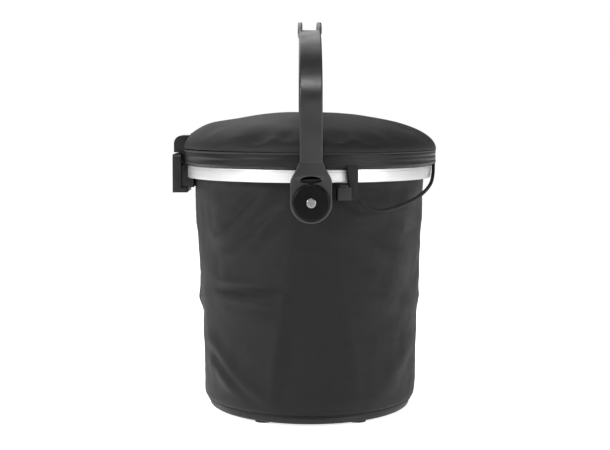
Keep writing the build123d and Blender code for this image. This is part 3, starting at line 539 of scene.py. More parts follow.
@dataclass(frozen=True)
class Metal:
    """A metal finish with brush lines that run level round the basket."""

    name: str
    colour: Point
    roughness: float
    lines: float = 0.2

    def make(self) -> bpy.types.Material:
        """The material."""
        material = bpy.data.materials.new(self.name)
        material.use_nodes = True
        nodes = Nodes(material.node_tree)
        shader = material.node_tree.nodes["Principled BSDF"]
        chart = nodes.add("ShaderNodeTexCoord")
        brushed = nodes.noise(nodes.stretch(chart.outputs["Object"], (12, 12, 4200)), 1.0, 3.0, 0.7)
        cloud = nodes.noise(chart.outputs["Object"], 30.0, 3.0)
        mix = nodes.add("ShaderNodeMix", data_type="RGBA", blend_type="MIX")
        dark = tuple(value * (1 - self.lines) for value in self.colour) + (1,)
        nodes.feed(mix, i0=nodes.ramp(brushed, 0.35, 0.65, 0, 1), i6=dark, i7=self.colour + (1,))
        bump = nodes.add("ShaderNodeBump")
        nodes.feed(bump, Height=brushed, Distance=0.00002, Strength=0.6)
        rough = nodes.ramp(cloud, 0.3, 0.7, self.roughness - 0.05, self.roughness + 0.07)
        nodes.feed(shader, Base_Color=mix.outputs[2], Roughness=rough, Normal=bump.outputs[0])
        nodes.feed(shader, Metallic=1.0)
        return material


BAG_CLOTH = Cloth("bag_cloth", (0.0052, 0.0052, 0.0054), 1300, 0.62, sheen=0.01)
COVER_CLOTH = Cloth("cover_cloth", (0.0078, 0.0078, 0.0081), 1700, 0.56, sheen=0.02)
BAND_CLOTH = Cloth("band_cloth", (0.0025, 0.0025, 0.0026), 2200, 0.42, relief=0.00004, sheen=0.0)
PIPING_CLOTH = Cloth("piping_cloth", (0.02, 0.02, 0.0206), 2400, 0.55, sheen=0.02)
WEBBING = Cloth("webbing", (0.005, 0.005, 0.0052), 900, 0.6, relief=0.0002, sheen=0.0)
BRAID = Cloth("braid", (0.004, 0.004, 0.0041), 1400, 0.55, relief=0.0002, sheen=0.0)
BLACK_PLASTIC = Plastic("black_plastic", (0.006, 0.006, 0.0062), 0.42)
BASE_PLASTIC = Plastic("base_plastic", (0.003, 0.003, 0.0031), 0.5)
BOW_PLASTIC = Plastic("bow_plastic", (0.005, 0.005, 0.0052), 0.36, 1300.0, 0.00012, specular=0.6)
CAP_PLASTIC = Plastic("cap_plastic", (0.0004, 0.0004, 0.00042), 0.42, 1800.0, 0.00003,
                      specular=0.12)
RUBBER = Plastic("foot_rubber", (0.012, 0.012, 0.012), 0.75, 900.0, 0.0001)
BOARD = Plastic("board", (0.06, 0.06, 0.06), 0.6, 700.0, 0.0001)
ALUMINIUM = Metal("brushed_aluminium", (0.66, 0.66, 0.665), 0.48)
PLATED = Metal("plated_steel", (0.30, 0.30, 0.305), 0.3, 0.1)


# ---------------------------------------------------------------------------------------
# Camera, floor and lights
# ---------------------------------------------------------------------------------------


@dataclass
class Studio:
    """A pale floor, soft lights and the camera."""

    camera_at: Point = (-0.0156, -1.782, 0.2975)
    looks_at: Point = (-0.0045, 0.0, 0.1784)
    lens: float = 104.4
    lit_point: Point = (0.0, 0.0, 0.2)
    sensor: float = 36.0

    def camera(self) -> None:
        """Add the camera and make it the scene's own."""
        data = bpy.data.cameras.new("camera")
        data.sensor_width = self.sensor
        data.lens = self.lens
        camera = bpy.data.objects.new("camera", data)
        bpy.context.scene.collection.objects.link(camera)
        at = Vector(self.camera_at)
        camera.location = at
        camera.rotation_euler = (Vector(self.looks_at) - at).to_track_quat("-Z", "Y").to_euler()
        bpy.context.scene.camera = camera

    def area(self, name: str, at: Point, size: float, power: float) -> None:
        """Add one square soft light that faces the basket's middle."""
        data = bpy.data.lights.new(name, "AREA")
        data.shape = "SQUARE"
        data.size = size
        data.energy = power
        light = bpy.data.objects.new(name, data)
        bpy.context.scene.collection.objects.link(light)
        light.location = at
        facing = Vector(self.lit_point) - Vector(at)
        light.rotation_euler = facing.to_track_quat("-Z", "Y").to_euler()

    def stage(self) -> None:
        """Add the floor, the lights and the sky."""
        deselect()
        bpy.ops.mesh.primitive_plane_add(size=30, location=(0, 0, -0.0005))
        floor = bpy.context.object
        floor.name = "floor"
        material = bpy.data.materials.new("floor")
        material.use_nodes = True
        shader = material.node_tree.nodes["Principled BSDF"]
        shader.inputs["Base Color"].default_value = (0.95, 0.95, 0.95, 1)
        shader.inputs["Emission Color"].default_value = (1, 1, 1, 1)
        shader.inputs["Emission Strength"].default_value = 0.8
        shader.inputs["Roughness"].default_value = 0.9
        shader.inputs["Specular IOR Level"].default_value = 0.1
        floor.data.materials.append(material)
        self.area("key", (-1.9, -1.0, 1.3), 0.6, 46)
        self.area("fill", (2.1, -1.2, 0.8), 0.8, 30)
        self.area("top", (-0.1, -1.6, 3.0), 0.9, 44)
        self.area("rear", (-0.6, 2.2, 1.6), 1.6, 12)
        world = bpy.data.worlds.new("sky")
        world.use_nodes = True
        nodes = Nodes(world.node_tree)
        seen = nodes.add("ShaderNodeLightPath").outputs["Is Camera Ray"]
        sky = world.node_tree.nodes["Background"]
        nodes.feed(sky, Color=(1, 1, 1, 1), Strength=nodes.ramp(seen, 0, 1, 0.22, 1.0))
        bpy.context.scene.view_settings.view_transform = "Standard"
        bpy.context.scene.world = world


# ---------------------------------------------------------------------------------------
# Drawcord, stopper and tab
# ---------------------------------------------------------------------------------------


@dataclass
class Drawcord:
    """The cover's drawcord from the hem to its stopper, with the tab that it hangs by."""

    radius: float = 0.00175
    route: tuple[Point, ...] = (
        (0.1219, -0.0384, 0.2450), (0.1219, -0.0384, 0.2385), (0.1210, -0.0465, 0.2310),
        (0.1176, -0.0615, 0.2216), (0.1054, -0.0952, 0.2127), (0.0908, -0.1204, 0.2068),
        (0.0759, -0.1383, 0.2025), (0.0635, -0.1497, 0.2009), (0.0530, -0.1578, 0.2044),
        (0.0462, -0.1623, 0.2100), (0.0418, -0.1649, 0.2156), (0.0383, -0.1669, 0.2204),
        (0.0230, -0.17165, 0.2204))
    around: int = 14
    length: float = 0.1950
    tab_top: float = 0.2435
    tab_bottom: float = 0.2145
    tab_at: tuple[float, float] = (0.0387, -0.1652)
    tab_turn: float = math.radians(23.3)
    tab_widths: tuple[float, float] = (0.011, 0.0066)

    def line(self) -> list[Vector]:
        """The points of the route's smooth line, read from a curve."""
        data = bpy.data.curves.new("route", "CURVE")
        data.dimensions = "3D"
        spline = data.splines.new("NURBS")
        spline.points.add(len(self.route) - 1)
        for point, place in zip(spline.points, self.route):
            point.co = (*place, 1)
        spline.order_u = 3
        spline.use_endpoint_u = True
        spline.resolution_u = 14
        holder = bpy.data.objects.new("route", data)
        bpy.context.scene.collection.objects.link(holder)
        deps = bpy.context.evaluated_depsgraph_get()
        flat = bpy.data.meshes.new_from_object(holder.evaluated_get(deps))
        points = [vertex.co.copy() for vertex in flat.vertices]
        bpy.data.objects.remove(holder)
        bpy.data.meshes.remove(flat)
        return points

    def cord(self) -> bpy.types.Object:
        """The braided cord, a tube along the route.

        Returns:
            the piece.
        """
        points = self.line()
        steps = [0.0]
        for before, after in zip(points, points[1:]):
            steps.append(steps[-1] + (after - before).length)
        total = steps[-1]

        def at(along: float) -> tuple[Vector, Vector]:
            """The place and direction at a fraction of the length.

            Args:
                along: the share of the way along.
            """
            want = min(max(along, 0), 1) * total
            k = next((i for i in range(1, len(steps)) if steps[i] >= want - 1e-9), len(steps) - 1)
            share = (want - steps[k - 1]) / max(steps[k] - steps[k - 1], 1e-9)
            return points[k - 1].lerp(points[k], share), (points[k] - points[k - 1]).normalized()

        def place(turn: float, along: float) -> Point:
            """A point on the braid, which swells a little where strands cross.

            Args:
                turn: the share of the way round.
                along: the share of the way along.

            Returns:
                the place, in metres.
            """
            centre, ahead = at(along)
            level = ahead.cross(Vector((0, 0, 1)))
            if level.length < 0.15:
                level = Vector((0, 1, 0)).cross(ahead)
            level.normalize()
            upright = level.cross(ahead)
            strands = math.sin(math.tau * (along * total / 0.006 + turn * 3))
            crossing = math.sin(math.tau * (along * total / 0.006 - turn * 3))
            swell = self.radius * (1 + 0.045 * max(strands, crossing) - 0.03)
            angle = math.tau * turn
            return tuple(centre + (level * math.cos(angle) + upright * math.sin(angle)) * swell)

        obj = tube("drawcord", self.around, 360, place, (math.tau * self.radius, total), "NGON")
        smooth(obj, 60)
        dress(obj, BRAID.make())
        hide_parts("draw_cord")
        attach(obj, Body.COVER.value)
        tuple(self.route[0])
        [tuple(p) for p in points]
        return obj

    def tab(self) -> bpy.types.Object:
        """The webbing loop that hangs from the band, folded round the cord.

        Returns:
            the piece.
        """
        drop = self.tab_top - self.tab_bottom
        tangent = Vector((math.cos(self.tab_turn), math.sin(self.tab_turn), 0))
        outward = Vector((math.sin(self.tab_turn), -math.cos(self.tab_turn), 0))
        gap = 0.0021

        def place(across: float, along: float) -> Point:
            """A point on the folded strip: down the back, round the cord, up the front.

            Args:
                across: the share of the way across.
                along: the share of the way along.

            Returns:
                the place, in metres.
            """
            bend = math.pi * gap
            total = 2 * drop + bend
            run = along * total
            if run < drop:
                height, out = self.tab_top - run, -gap
            elif run < drop + bend:
                angle = (run - drop) / gap
                height, out = self.tab_bottom - gap * math.sin(angle), -gap * math.cos(angle)
            else:
                height, out = self.tab_bottom + run - drop - bend, gap
            down = min(max((self.tab_top - height) / drop, 0), 1)
            width = self.tab_widths[0] + (self.tab_widths[1] - self.tab_widths[0]) * down
            side = (across - 0.5) * width
            curl = 0.0011 * math.cos(math.pi * (across - 0.5)) * math.sin(math.pi * min(down, 1))
            pinch = out * (0.35 + 0.65 * down ** 0.7)
            point = Vector((*self.tab_at, height)) + tangent * (side - 0.0012 * (1 - down))
            return tuple(point + outward * (pinch + (curl if out > 0 else curl * 0.4)))

        deselect()
        bpy.ops.mesh.primitive_grid_add(x_subdivisions=10, y_subdivisions=60, size=2)
        obj = bpy.context.object
        obj.name = "tab_loop"
        chart = {}
        for vertex in obj.data.vertices:
            across, along = (vertex.co.x + 1) / 2, (vertex.co.y + 1) / 2
            chart[vertex.index] = (across * self.tab_widths[0], along * 2 * drop)
            vertex.co = place(across, along)
        write_uv(obj, chart, 0)
        apply_modifier(obj, "SOLIDIFY", thickness=0.0009, offset=0)
        face_outward(obj)
        smooth(obj, 50)
        dress(obj, WEBBING.make())
        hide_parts("cord_tab")
        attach(obj, Body.COVER.value)
        return obj

    def build(self) -> None:
        """All of the drawcord's pieces."""
        log.info("cord %s", self.cord().name)
        log.info("tab %s", self.tab().name)
        body = soft_copy("stopper_body", 0.0004, body=Body.COVER)
        dress(body, BLACK_PLASTIC.make())
        button = soft_copy("stopper_button", 0.0003, body=Body.BUTTON)
        dress(button, BLACK_PLASTIC.make())


# ---------------------------------------------------------------------------------------
# Bag and base
# ---------------------------------------------------------------------------------------


@dataclass(frozen=True)
class Fold:
    """A soft fold in the cloth, from one place on the wall to another.

    Places are (x, height) in millimetres, seen square on from the side. The lift is outward.
    """

    start: tuple[float, float]
    end: tuple[float, float]
    width: float
    lift: float

    def height(self, x: float, z: float) -> float:
        """The fold's lift at a place, in millimetres."""
        ax, az = self.start
        bx, bz = self.end
        length = math.hypot(bx - ax, bz - az)
        share = ((x - ax) * (bx - ax) + (z - az) * (bz - az)) / length ** 2
        inside = min(max(share, 0), 1)
        gap = math.hypot(x - ax - inside * (bx - ax), z - az - inside * (bz - az))
        fade = math.sin(math.pi * min(max(0.08 + 0.84 * inside, 0), 1)) ** 0.6
        return self.lift * fade * math.exp(-((gap / self.width) ** 2))


@dataclass
class Bag:
    """The cloth bag, its base and feet."""

    welt_in: float = 0.0036
    centre_gap: float = 0.0045
    centre_top: float = 0.02
    cloth_height: float = 0.36
    wall: float = 0.0018
    base_half_x: float = 0.1055
    base_half_y: float = 0.1510
    corner: float = 0.0070
    around: int = 288
    wall_rows: int = 112
    fold_depth: float = 2.3
    near_folds: tuple[Fold, ...] = (
        Fold((-58, 226), (-94, 180), 5.0, 1.1), Fold((-48, 222), (-90, 178), 4.0, -0.9),
        Fold((-38, 220), (-84, 172), 5.0, 1.3), Fold((-28, 212), (-80, 164), 5.0, -1.0),
        Fold((-22, 204), (-74, 158), 6.0, 1.2), Fold((-26, 188), (-62, 148), 6.0, -0.8),
        Fold((-86, 131), (-18, 132), 5.0, 1.0), Fold((-84, 124), (-22, 126), 4.5, -1.3),
        Fold((-82, 118), (-26, 112), 5.0, 1.1), Fold((-52, 108), (-22, 104), 4.0, -0.7),
        Fold((-97, 74), (-76, 46), 6.0, 1.2), Fold((-76, 46), (-40, 20), 6.0, 1.2),
        Fold((-95, 62), (-70, 34), 5.0, -1.0), Fold((-95, 50), (-60, 16), 5.0, 1.0),
        Fold((-18, 164), (-38, 20), 6.0, 1.2), Fold((-8, 150), (-24, 30), 14.0, -1.5),
        Fold((8, 150), (20, 34), 14.0, -1.3), Fold((22, 160), (46, 30), 6.0, 0.9),
        Fold((32, 48), (48, 30), 3.5, 1.0), Fold((36, 40), (52, 26), 3.5, -0.8),
        Fold((30, 182), (88, 150), 9.0, 0.9), Fold((26, 170), (84, 132), 9.0, -0.8),
        Fold((50, 120), (98, 104), 7.0, 0.6), Fold((98, 70), (70, 30), 8.0, 0.9),
        Fold((-10, 20), (60, 22), 6.0, 0.7), Fold((60, 214), (100, 190), 8.0, 0.7))
    far_folds: tuple[Fold, ...] = (
        Fold((40, 214), (92, 170), 7.0, 1.3), Fold((28, 196), (86, 152), 6.0, -1.1),
        Fold((-24, 200), (-84, 168), 8.0, 1.1), Fold((-88, 120), (-10, 128), 6.0, -1.2),
        Fold((-90, 110), (-20, 112), 7.0, 1.1), Fold((12, 108), (90, 92), 8.0, 1.0),
        Fold((92, 66), (50, 22), 7.0, 1.2), Fold((-94, 60), (-44, 20), 7.0, 1.2),
        Fold((0, 160), (10, 30), 16.0, -1.4))
    end_folds: tuple[Fold, ...] = (
        Fold((-120, 200), (-40, 160), 9.0, 1.4), Fold((-110, 180), (-30, 140), 8.0, -1.1),
        Fold((120, 196), (50, 150), 9.0, 1.3), Fold((-60, 110), (70, 104), 8.0, 1.2),
        Fold((-50, 98), (64, 92), 7.0, -1.1), Fold((-110, 56), (-40, 24), 9.0, 1.3),
        Fold((108, 60), (40, 26), 9.0, 1.2), Fold((-10, 150), (4, 40), 18.0, -1.6))

    def profile(self) -> list[tuple[float, float, float]]:
        """The bag's side from the floor's middle up: (half x, half y, height) for each row."""
        low = box("bag_body")[0][2]
        high = box("bag_body")[1][2]
        top_x, top_y = box("bag_body")[1][0], box("bag_body")[1][1]
        mouth = box("rim_rail")[0][2]
        rows = []
        for share in (0.02, 0.3, 0.6, 0.85, 0.95):
            rows.append(((self.base_half_x - self.corner) * share,
                         (self.base_half_y - self.corner) * share, low))
        for step in range(7):
            angle = math.radians(90 * step / 6)
            out = self.corner * (math.sin(angle) - 1)
            rows.append((self.base_half_x + out, self.base_half_y + out,
                         low + self.corner * (1 - math.cos(angle))))
        start = low + self.corner
        for step in range(1, self.wall_rows + 1):
            height = start + (high - start) * step / self.wall_rows
            share = min((height - low) / (mouth - low), 1)
            rows.append((self.base_half_x + (top_x - self.base_half_x) * share,
                         self.base_half_y + (top_y - self.base_half_y) * share, height))
        return rows

    def lift(self, x: float, y: float, z: float) -> float:
        """How far the cloth stands out at a place on the wall, in metres."""
        xm, ym, zm = x / MM, y / MM, z / MM
        sides = self.near_folds if y < 0 else self.far_folds
        facing = min(1.0, abs(ym) / 60)
        total = facing * sum(fold.height(xm, zm) for fold in sides)
        turned = ym if x > 0 else -ym
        total += (1 - facing) * sum(fold.height(turned, zm) for fold in self.end_folds)
        place = Vector((x, y, z))
        total += 0.9 * noise.noise(place * 22) + 0.35 * noise.noise(place * 55 + Vector((3, 1, 7)))
        total += 0.10 * noise.noise(place * 160)
        total *= self.fold_depth
        held = min(1, max(0, (zm - 8) / 22)) * min(1, max(0, (230 - zm) / 14))
        return total * held * MM

    def cloth(self) -> bpy.types.Object:
        """The bag itself: one shell from the floor up into the rim rail.

        Returns:
            the piece.
        """
        rows = self.profile()
        count = len(rows) - 1
        girth = math.tau * math.sqrt((self.base_half_x ** 2 + self.base_half_y ** 2) / 2)

        def place(turn: float, along: float) -> Point:
            """A point on the shell.

            Args:
                turn: the share of the way round.
                along: the share of the way along.

            Returns:
                the place, in metres.
            """
            half_x, half_y, height = rows[round(along * count)]
            angle = math.tau * turn
            x, y = half_x * math.cos(angle), half_y * math.sin(angle)
            out = Vector((x / half_x ** 2, y / half_y ** 2, 0)).normalized()
            lift = self.lift(x, y, height) if along > 12 / count else 0.0
            return (x + out.x * lift, y + out.y * lift, height)

        obj = tube("bag_cloth", self.around, count, place, (girth, self.cloth_height))
        close_centre(obj, self.centre_gap, self.centre_top)
        apply_modifier(obj, "SOLIDIFY", thickness=self.wall, offset=-1, use_even_offset=True)
        smooth(obj, 60)
        dress(obj, BAG_CLOTH.make())
        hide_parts("bag_body")
        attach(obj, Body.FRAME.value)
        return obj

    def welt(self) -> bpy.types.Object:
        """The sewn welt where the bag's wall meets its floor.

        Returns:
            the piece.
        """
        low = box("bag_body")[0][2]
        profile = [(0.0012 * math.cos(math.tau * k / 10),
                    low + 0.0011 + 0.0011 * math.sin(math.tau * k / 10)) for k in range(10)]
        obj = ring("bag_welt", 256, profile, self.base_half_x - self.welt_in,
                   self.base_half_y - self.welt_in)
        smooth(obj, 60)
        dress(obj, BAG_CLOTH.make())
        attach(obj, Body.FRAME.value)
        return obj

    def build(self) -> None:
        """The bag and the pieces under and in it."""
        log.info("bag %s", self.cloth().name)
        log.info("welt %s", self.welt().name)
        tray = soft_copy("base_tray", 0.0008)
        dress(tray, BASE_PLASTIC.make())
        feet = soft_copy("base_feet", 0.0003)
        dress(feet, RUBBER.make())
        dress(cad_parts["base_board"], BOARD.make())
        dress(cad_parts["base_screws"], PLATED.make())
        dress(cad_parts["bag_bead"], BASE_PLASTIC.make())


# ---------------------------------------------------------------------------------------
# Rim rail, pivots and handlebar mount
# ---------------------------------------------------------------------------------------


@dataclass
class Rim:
    """The aluminium rim rail with the pivot brackets and the mount."""

    slim_height: float = 0.012
    slim_share: float = 0.30
    width: float = 0.013
    edge: float = 0.0010
    groove_depth: float = 0.0005
    groove_below_top: float = 0.0028
    groove_height: float = 0.0009
    bracket_half: float = 0.0185
    around: int = 256

    def rail(self) -> bpy.types.Object:
        """The rail's section swept round the oval, with the line below its lip.

        Returns:
            the piece.
        """
        low, high = box("rim_rail")
        outline = rounded_box_profile(0, self.width, low[2], high[2], self.edge)
        line_top = high[2] - self.groove_below_top + self.groove_height
        line = [(0, line_top + 0.0002), (self.groove_depth, line_top),
                (self.groove_depth, line_top - self.groove_height),
                (0, line_top - self.groove_height - 0.0002)]
        split = 3 * 5
        profile = outline[:split] + line + outline[split:]
        obj = ring("rim", self.around, profile, high[0], high[1])
        smooth(obj, 30)
        dress(obj, ALUMINIUM.make())
        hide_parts("rim_rail")
        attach(obj, Body.FRAME.value)
        return obj

    def slim(self, bracket: bpy.types.Object) -> None:
        """Draw a bracket's upper corners in, behind the handle's flare.

        Args:
            bracket: the bracket's piece.
        """
        start = box("rim_rail")[0][2]
        for vertex in bracket.data.vertices:
            up = min(max((vertex.co.z - start) / self.slim_height, 0), 1)
            limit = self.bracket_half * (1 - self.slim_share * up)
            if vertex.co.z > start and abs(vertex.co.x) > limit:
                vertex.co.x = math.copysign(limit, vertex.co.x)

    def build(self) -> None:
        """The rail and what is screwed to it."""
        log.info("rail %s", self.rail().name)
        plastic = BLACK_PLASTIC.make()
        plated = PLATED.make()
        cap = CAP_PLASTIC.make()
        for name in ("near", "far"):
            bracket = soft_copy(f"pivot_bracket_{name}", 0.0005)
            self.slim(bracket)
            dress(bracket, plastic)
            dress(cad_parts[f"hub_cap_{name}"], cap)
            for part in ("hub_screw", "hub_nut", "nut_bar"):
                dress(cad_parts[f"{part}_{name}"], plated)
            dress(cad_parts[f"hub_washer_{name}"], cap)
        for node in ("bracket_screws", "mount_screws", "rail_splice"):
            dress(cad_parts[node], plated)
        dress(soft_copy("mount_plate", 0.0012, 4), plastic)
        dress(soft_copy("mount_clamp", 0.0008), plastic)


# ---------------------------------------------------------------------------------------
# Handle
# ---------------------------------------------------------------------------------------


@dataclass
class Bow:
    """The folding bow handle: a strap with flared ends and two lips at the top."""

    arch_rise: float = 0.072
    lip_crest: float = 0.012
    strap_inset: float = 0.0002
    pad_inner: float = 0.1755
    pad_bevel: float = 0.0008
    strap_girth: float = 0.05
    strap: float = 0.0036
    half_width: float = 0.01045
    lip_half_width: float = 0.0117
    lip_gap: float = 0.0078
    lip_tip_gap: float = 0.0072
    lip_reach: float = 0.058
    arch_spring: float = 0.302
    pad_top: float = 0.2475
    pad_shoulder: float = 0.230
    pivot: float = 0.2103
    pad_radius: float = 0.019
    hub_hole: float = 0.00906
    slot_at: float = 0.231
    slot_length: float = 0.021
    slot_height: float = 0.0065
    rows: int = 260

    def section(self, lip: float) -> list[tuple[float, float]]:
        """The strap's closed outline (across, outward) with lips of a given height.

        Args:
            lip: the lips' height above the strap's outer face, in metres.

        Returns:
            Points from the middle of the inner face round and back.
        """
        share = min(lip / 0.004, 1)
        half = self.half_width + (self.lip_half_width - self.half_width) * share
        low, high = -self.strap / 2, self.strap / 2
        tip = high + lip
        radius = 0.0011
        side = []
        for step in range(5):
            angle = math.radians(-90 + 90 * step / 4)
            side.append((half - radius + radius * math.cos(angle),
                         low + radius + radius * math.sin(angle)))
        side += [(half, (low + tip) / 2)]
        tip_inner = self.lip_gap + (self.lip_tip_gap - self.lip_gap) * share
        for step in range(4):
            angle = math.radians(90 * step / 3)
            side.append((half - radius + radius * math.cos(angle),
                         tip - radius + radius * math.sin(angle)))
        for step in range(4):
            angle = math.radians(90 + 90 * step / 3)
            curl = radius * math.sin(angle) - radius
            side.append((tip_inner + radius + radius * math.cos(angle), tip + curl * share))
        side.append((self.lip_gap, high + 0.45 * lip))
        side.append((self.lip_gap - 0.0003 * share, high + 0.0006 * share))
        side.append((self.lip_gap - 0.0009, high))
        other = [(-x, y) for x, y in reversed(side)]
        return [(0.0, low)] + side + [(0.0, high)] + other

    def strap_piece(self) -> bpy.types.Object:
        """The strap up one leg, over the arch and down the other.

        Returns:
            the piece.
        """
        low, high = box("handle_bow")
        outer = high[1]
        rise = self.arch_rise
        half_span = outer - self.strap / 2 - self.strap_inset
        arch = rise - self.strap / 2 - self.strap_inset
        leg = self.arch_spring - self.pad_top + 0.0012
        radius = (self.lip_reach ** 2 + self.lip_crest ** 2) / (2 * self.lip_crest)
        curve_length = math.pi * math.sqrt((half_span ** 2 + arch ** 2) / 2)
        total = 2 * leg + curve_length

        def lip_at(y: float) -> float:
            """The lips' height at a distance from the top's middle.

            Args:
                y: the place along Y, in metres.

            Returns:
                the height, in metres.
            """
            if abs(y) >= self.lip_reach:
                return 0.0
            crest = high[2] - radius + math.sqrt(radius ** 2 - y ** 2)
            floor = self.arch_spring + rise * math.sqrt(1 - (y / outer) ** 2)
            return max(0.0, crest - floor)

        count = len(self.section(0))

        def place(turn: float, along: float) -> Point:
            """A point on the strap.

            Args:
                turn: the share of the way round.
                along: the share of the way along.

            Returns:
                the place, in metres.
            """
            run = along * total
            if run < leg:
                y, z, out = -half_span, self.arch_spring - leg + run, (-1.0, 0.0)
            elif run > leg + curve_length:
                y, z, out = half_span, self.arch_spring - (run - leg - curve_length), (1.0, 0.0)
            else:
                angle = math.pi * (1 - (run - leg) / curve_length)
                y, z = half_span * math.cos(angle), self.arch_spring + arch * math.sin(angle)
                normal = Vector((y / half_span ** 2, (z - self.arch_spring) / arch ** 2))
                normal.normalize()
                out = (normal.x, normal.y)
            across, outward = self.section(lip_at(y))[round(turn * count) % count]
            if self.lip_reach > abs(y):
                return (across, y + out[0] * min(outward, self.strap / 2), z + max(
                    outward, -self.strap / 2) * (out[1] if outward < self.strap / 2 else 1.0)
                    - (0 if outward < self.strap / 2 else (1 - out[1]) * self.strap / 2))
            return (across, y + out[0] * outward, z + out[1] * outward)

        obj = tube("bow_strap", count, self.rows, lambda turn, along: place(turn, 1 - along),
                   (self.strap_girth, total), "NGON")
        smooth(obj, 40)
        return obj

    def pad(self, side: Side) -> bpy.types.Object:
        """One flared end: a flat outline with the hub's hole and the lens slot.

        Args:
            side: which side of the bow.

        Returns:
            the piece.
        """
        data = bpy.data.curves.new("pad", "CURVE")
        data.dimensions = "2D"
        data.fill_mode = "BOTH"
        bevel = self.pad_bevel
        thick = box("handle_bow")[1][1] - self.pad_inner
        data.extrude = thick / 2 - bevel
        data.bevel_depth = bevel
        data.bevel_resolution = 3
        data.offset = -bevel
        outline = []
        for step in range(49):
            angle = math.radians(180 + 180 * step / 48)
            outline.append((self.pad_radius * math.cos(angle),
                            self.pivot + self.pad_radius * math.sin(angle)))
        neck = self.half_width + 0.0003
        rise = self.pad_top - self.pad_shoulder
        for step in range(13):
            share = step / 12
            ease = 0.55 * share + 0.45 * share * share * (3 - 2 * share)
            outline.append((self.pad_radius + (neck - self.pad_radius) * ease,
                            self.pad_shoulder + rise * share))
        outline += [(-x, z) for x, z in reversed(outline[-13:])]
        hub = [(self.hub_hole * math.cos(math.tau * k / 48), self.pivot + self.hub_hole
                * math.sin(math.tau * k / 48)) for k in range(48)]
        lens = []
        for step in range(32):
            angle = math.tau * step / 32
            lens.append((self.slot_length / 2 * math.cos(angle), self.slot_at
                         + self.slot_height / 2 * math.sin(angle) * abs(math.sin(angle)) ** 0.35))
        for points in (outline, hub, lens):
            spline = data.splines.new("POLY")
            spline.points.add(len(points) - 1)
            for point, (x, z) in zip(spline.points, points):
                point.co = (x, z, 0, 1)
            spline.use_cyclic_u = True
        obj = bpy.data.objects.new(f"bow_pad_{side.name.lower()}", data)
        bpy.context.scene.collection.objects.link(obj)
        activate(obj)
        bpy.ops.object.convert(target="MESH")
        obj = bpy.context.object
        middle = side.value * (self.pad_inner + thick / 2)
        upright = Matrix.Rotation(math.radians(90), 4, "X")
        obj.data.transform(Matrix.Translation((0, middle, 0)) @ upright)
        face_outward(obj)
        smooth(obj, 35)
        return obj

    def build(self) -> None:
        """The whole bow."""
        finish = BOW_PLASTIC.make()
        for piece in [self.strap_piece()] + [self.pad(side) for side in Side]:
            dress(piece, finish)
            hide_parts("handle_bow")
            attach(piece, Body.HANDLE.value)
            log.info("handle %s", piece.name)


# ---------------------------------------------------------------------------------------
# Cover
# ---------------------------------------------------------------------------------------


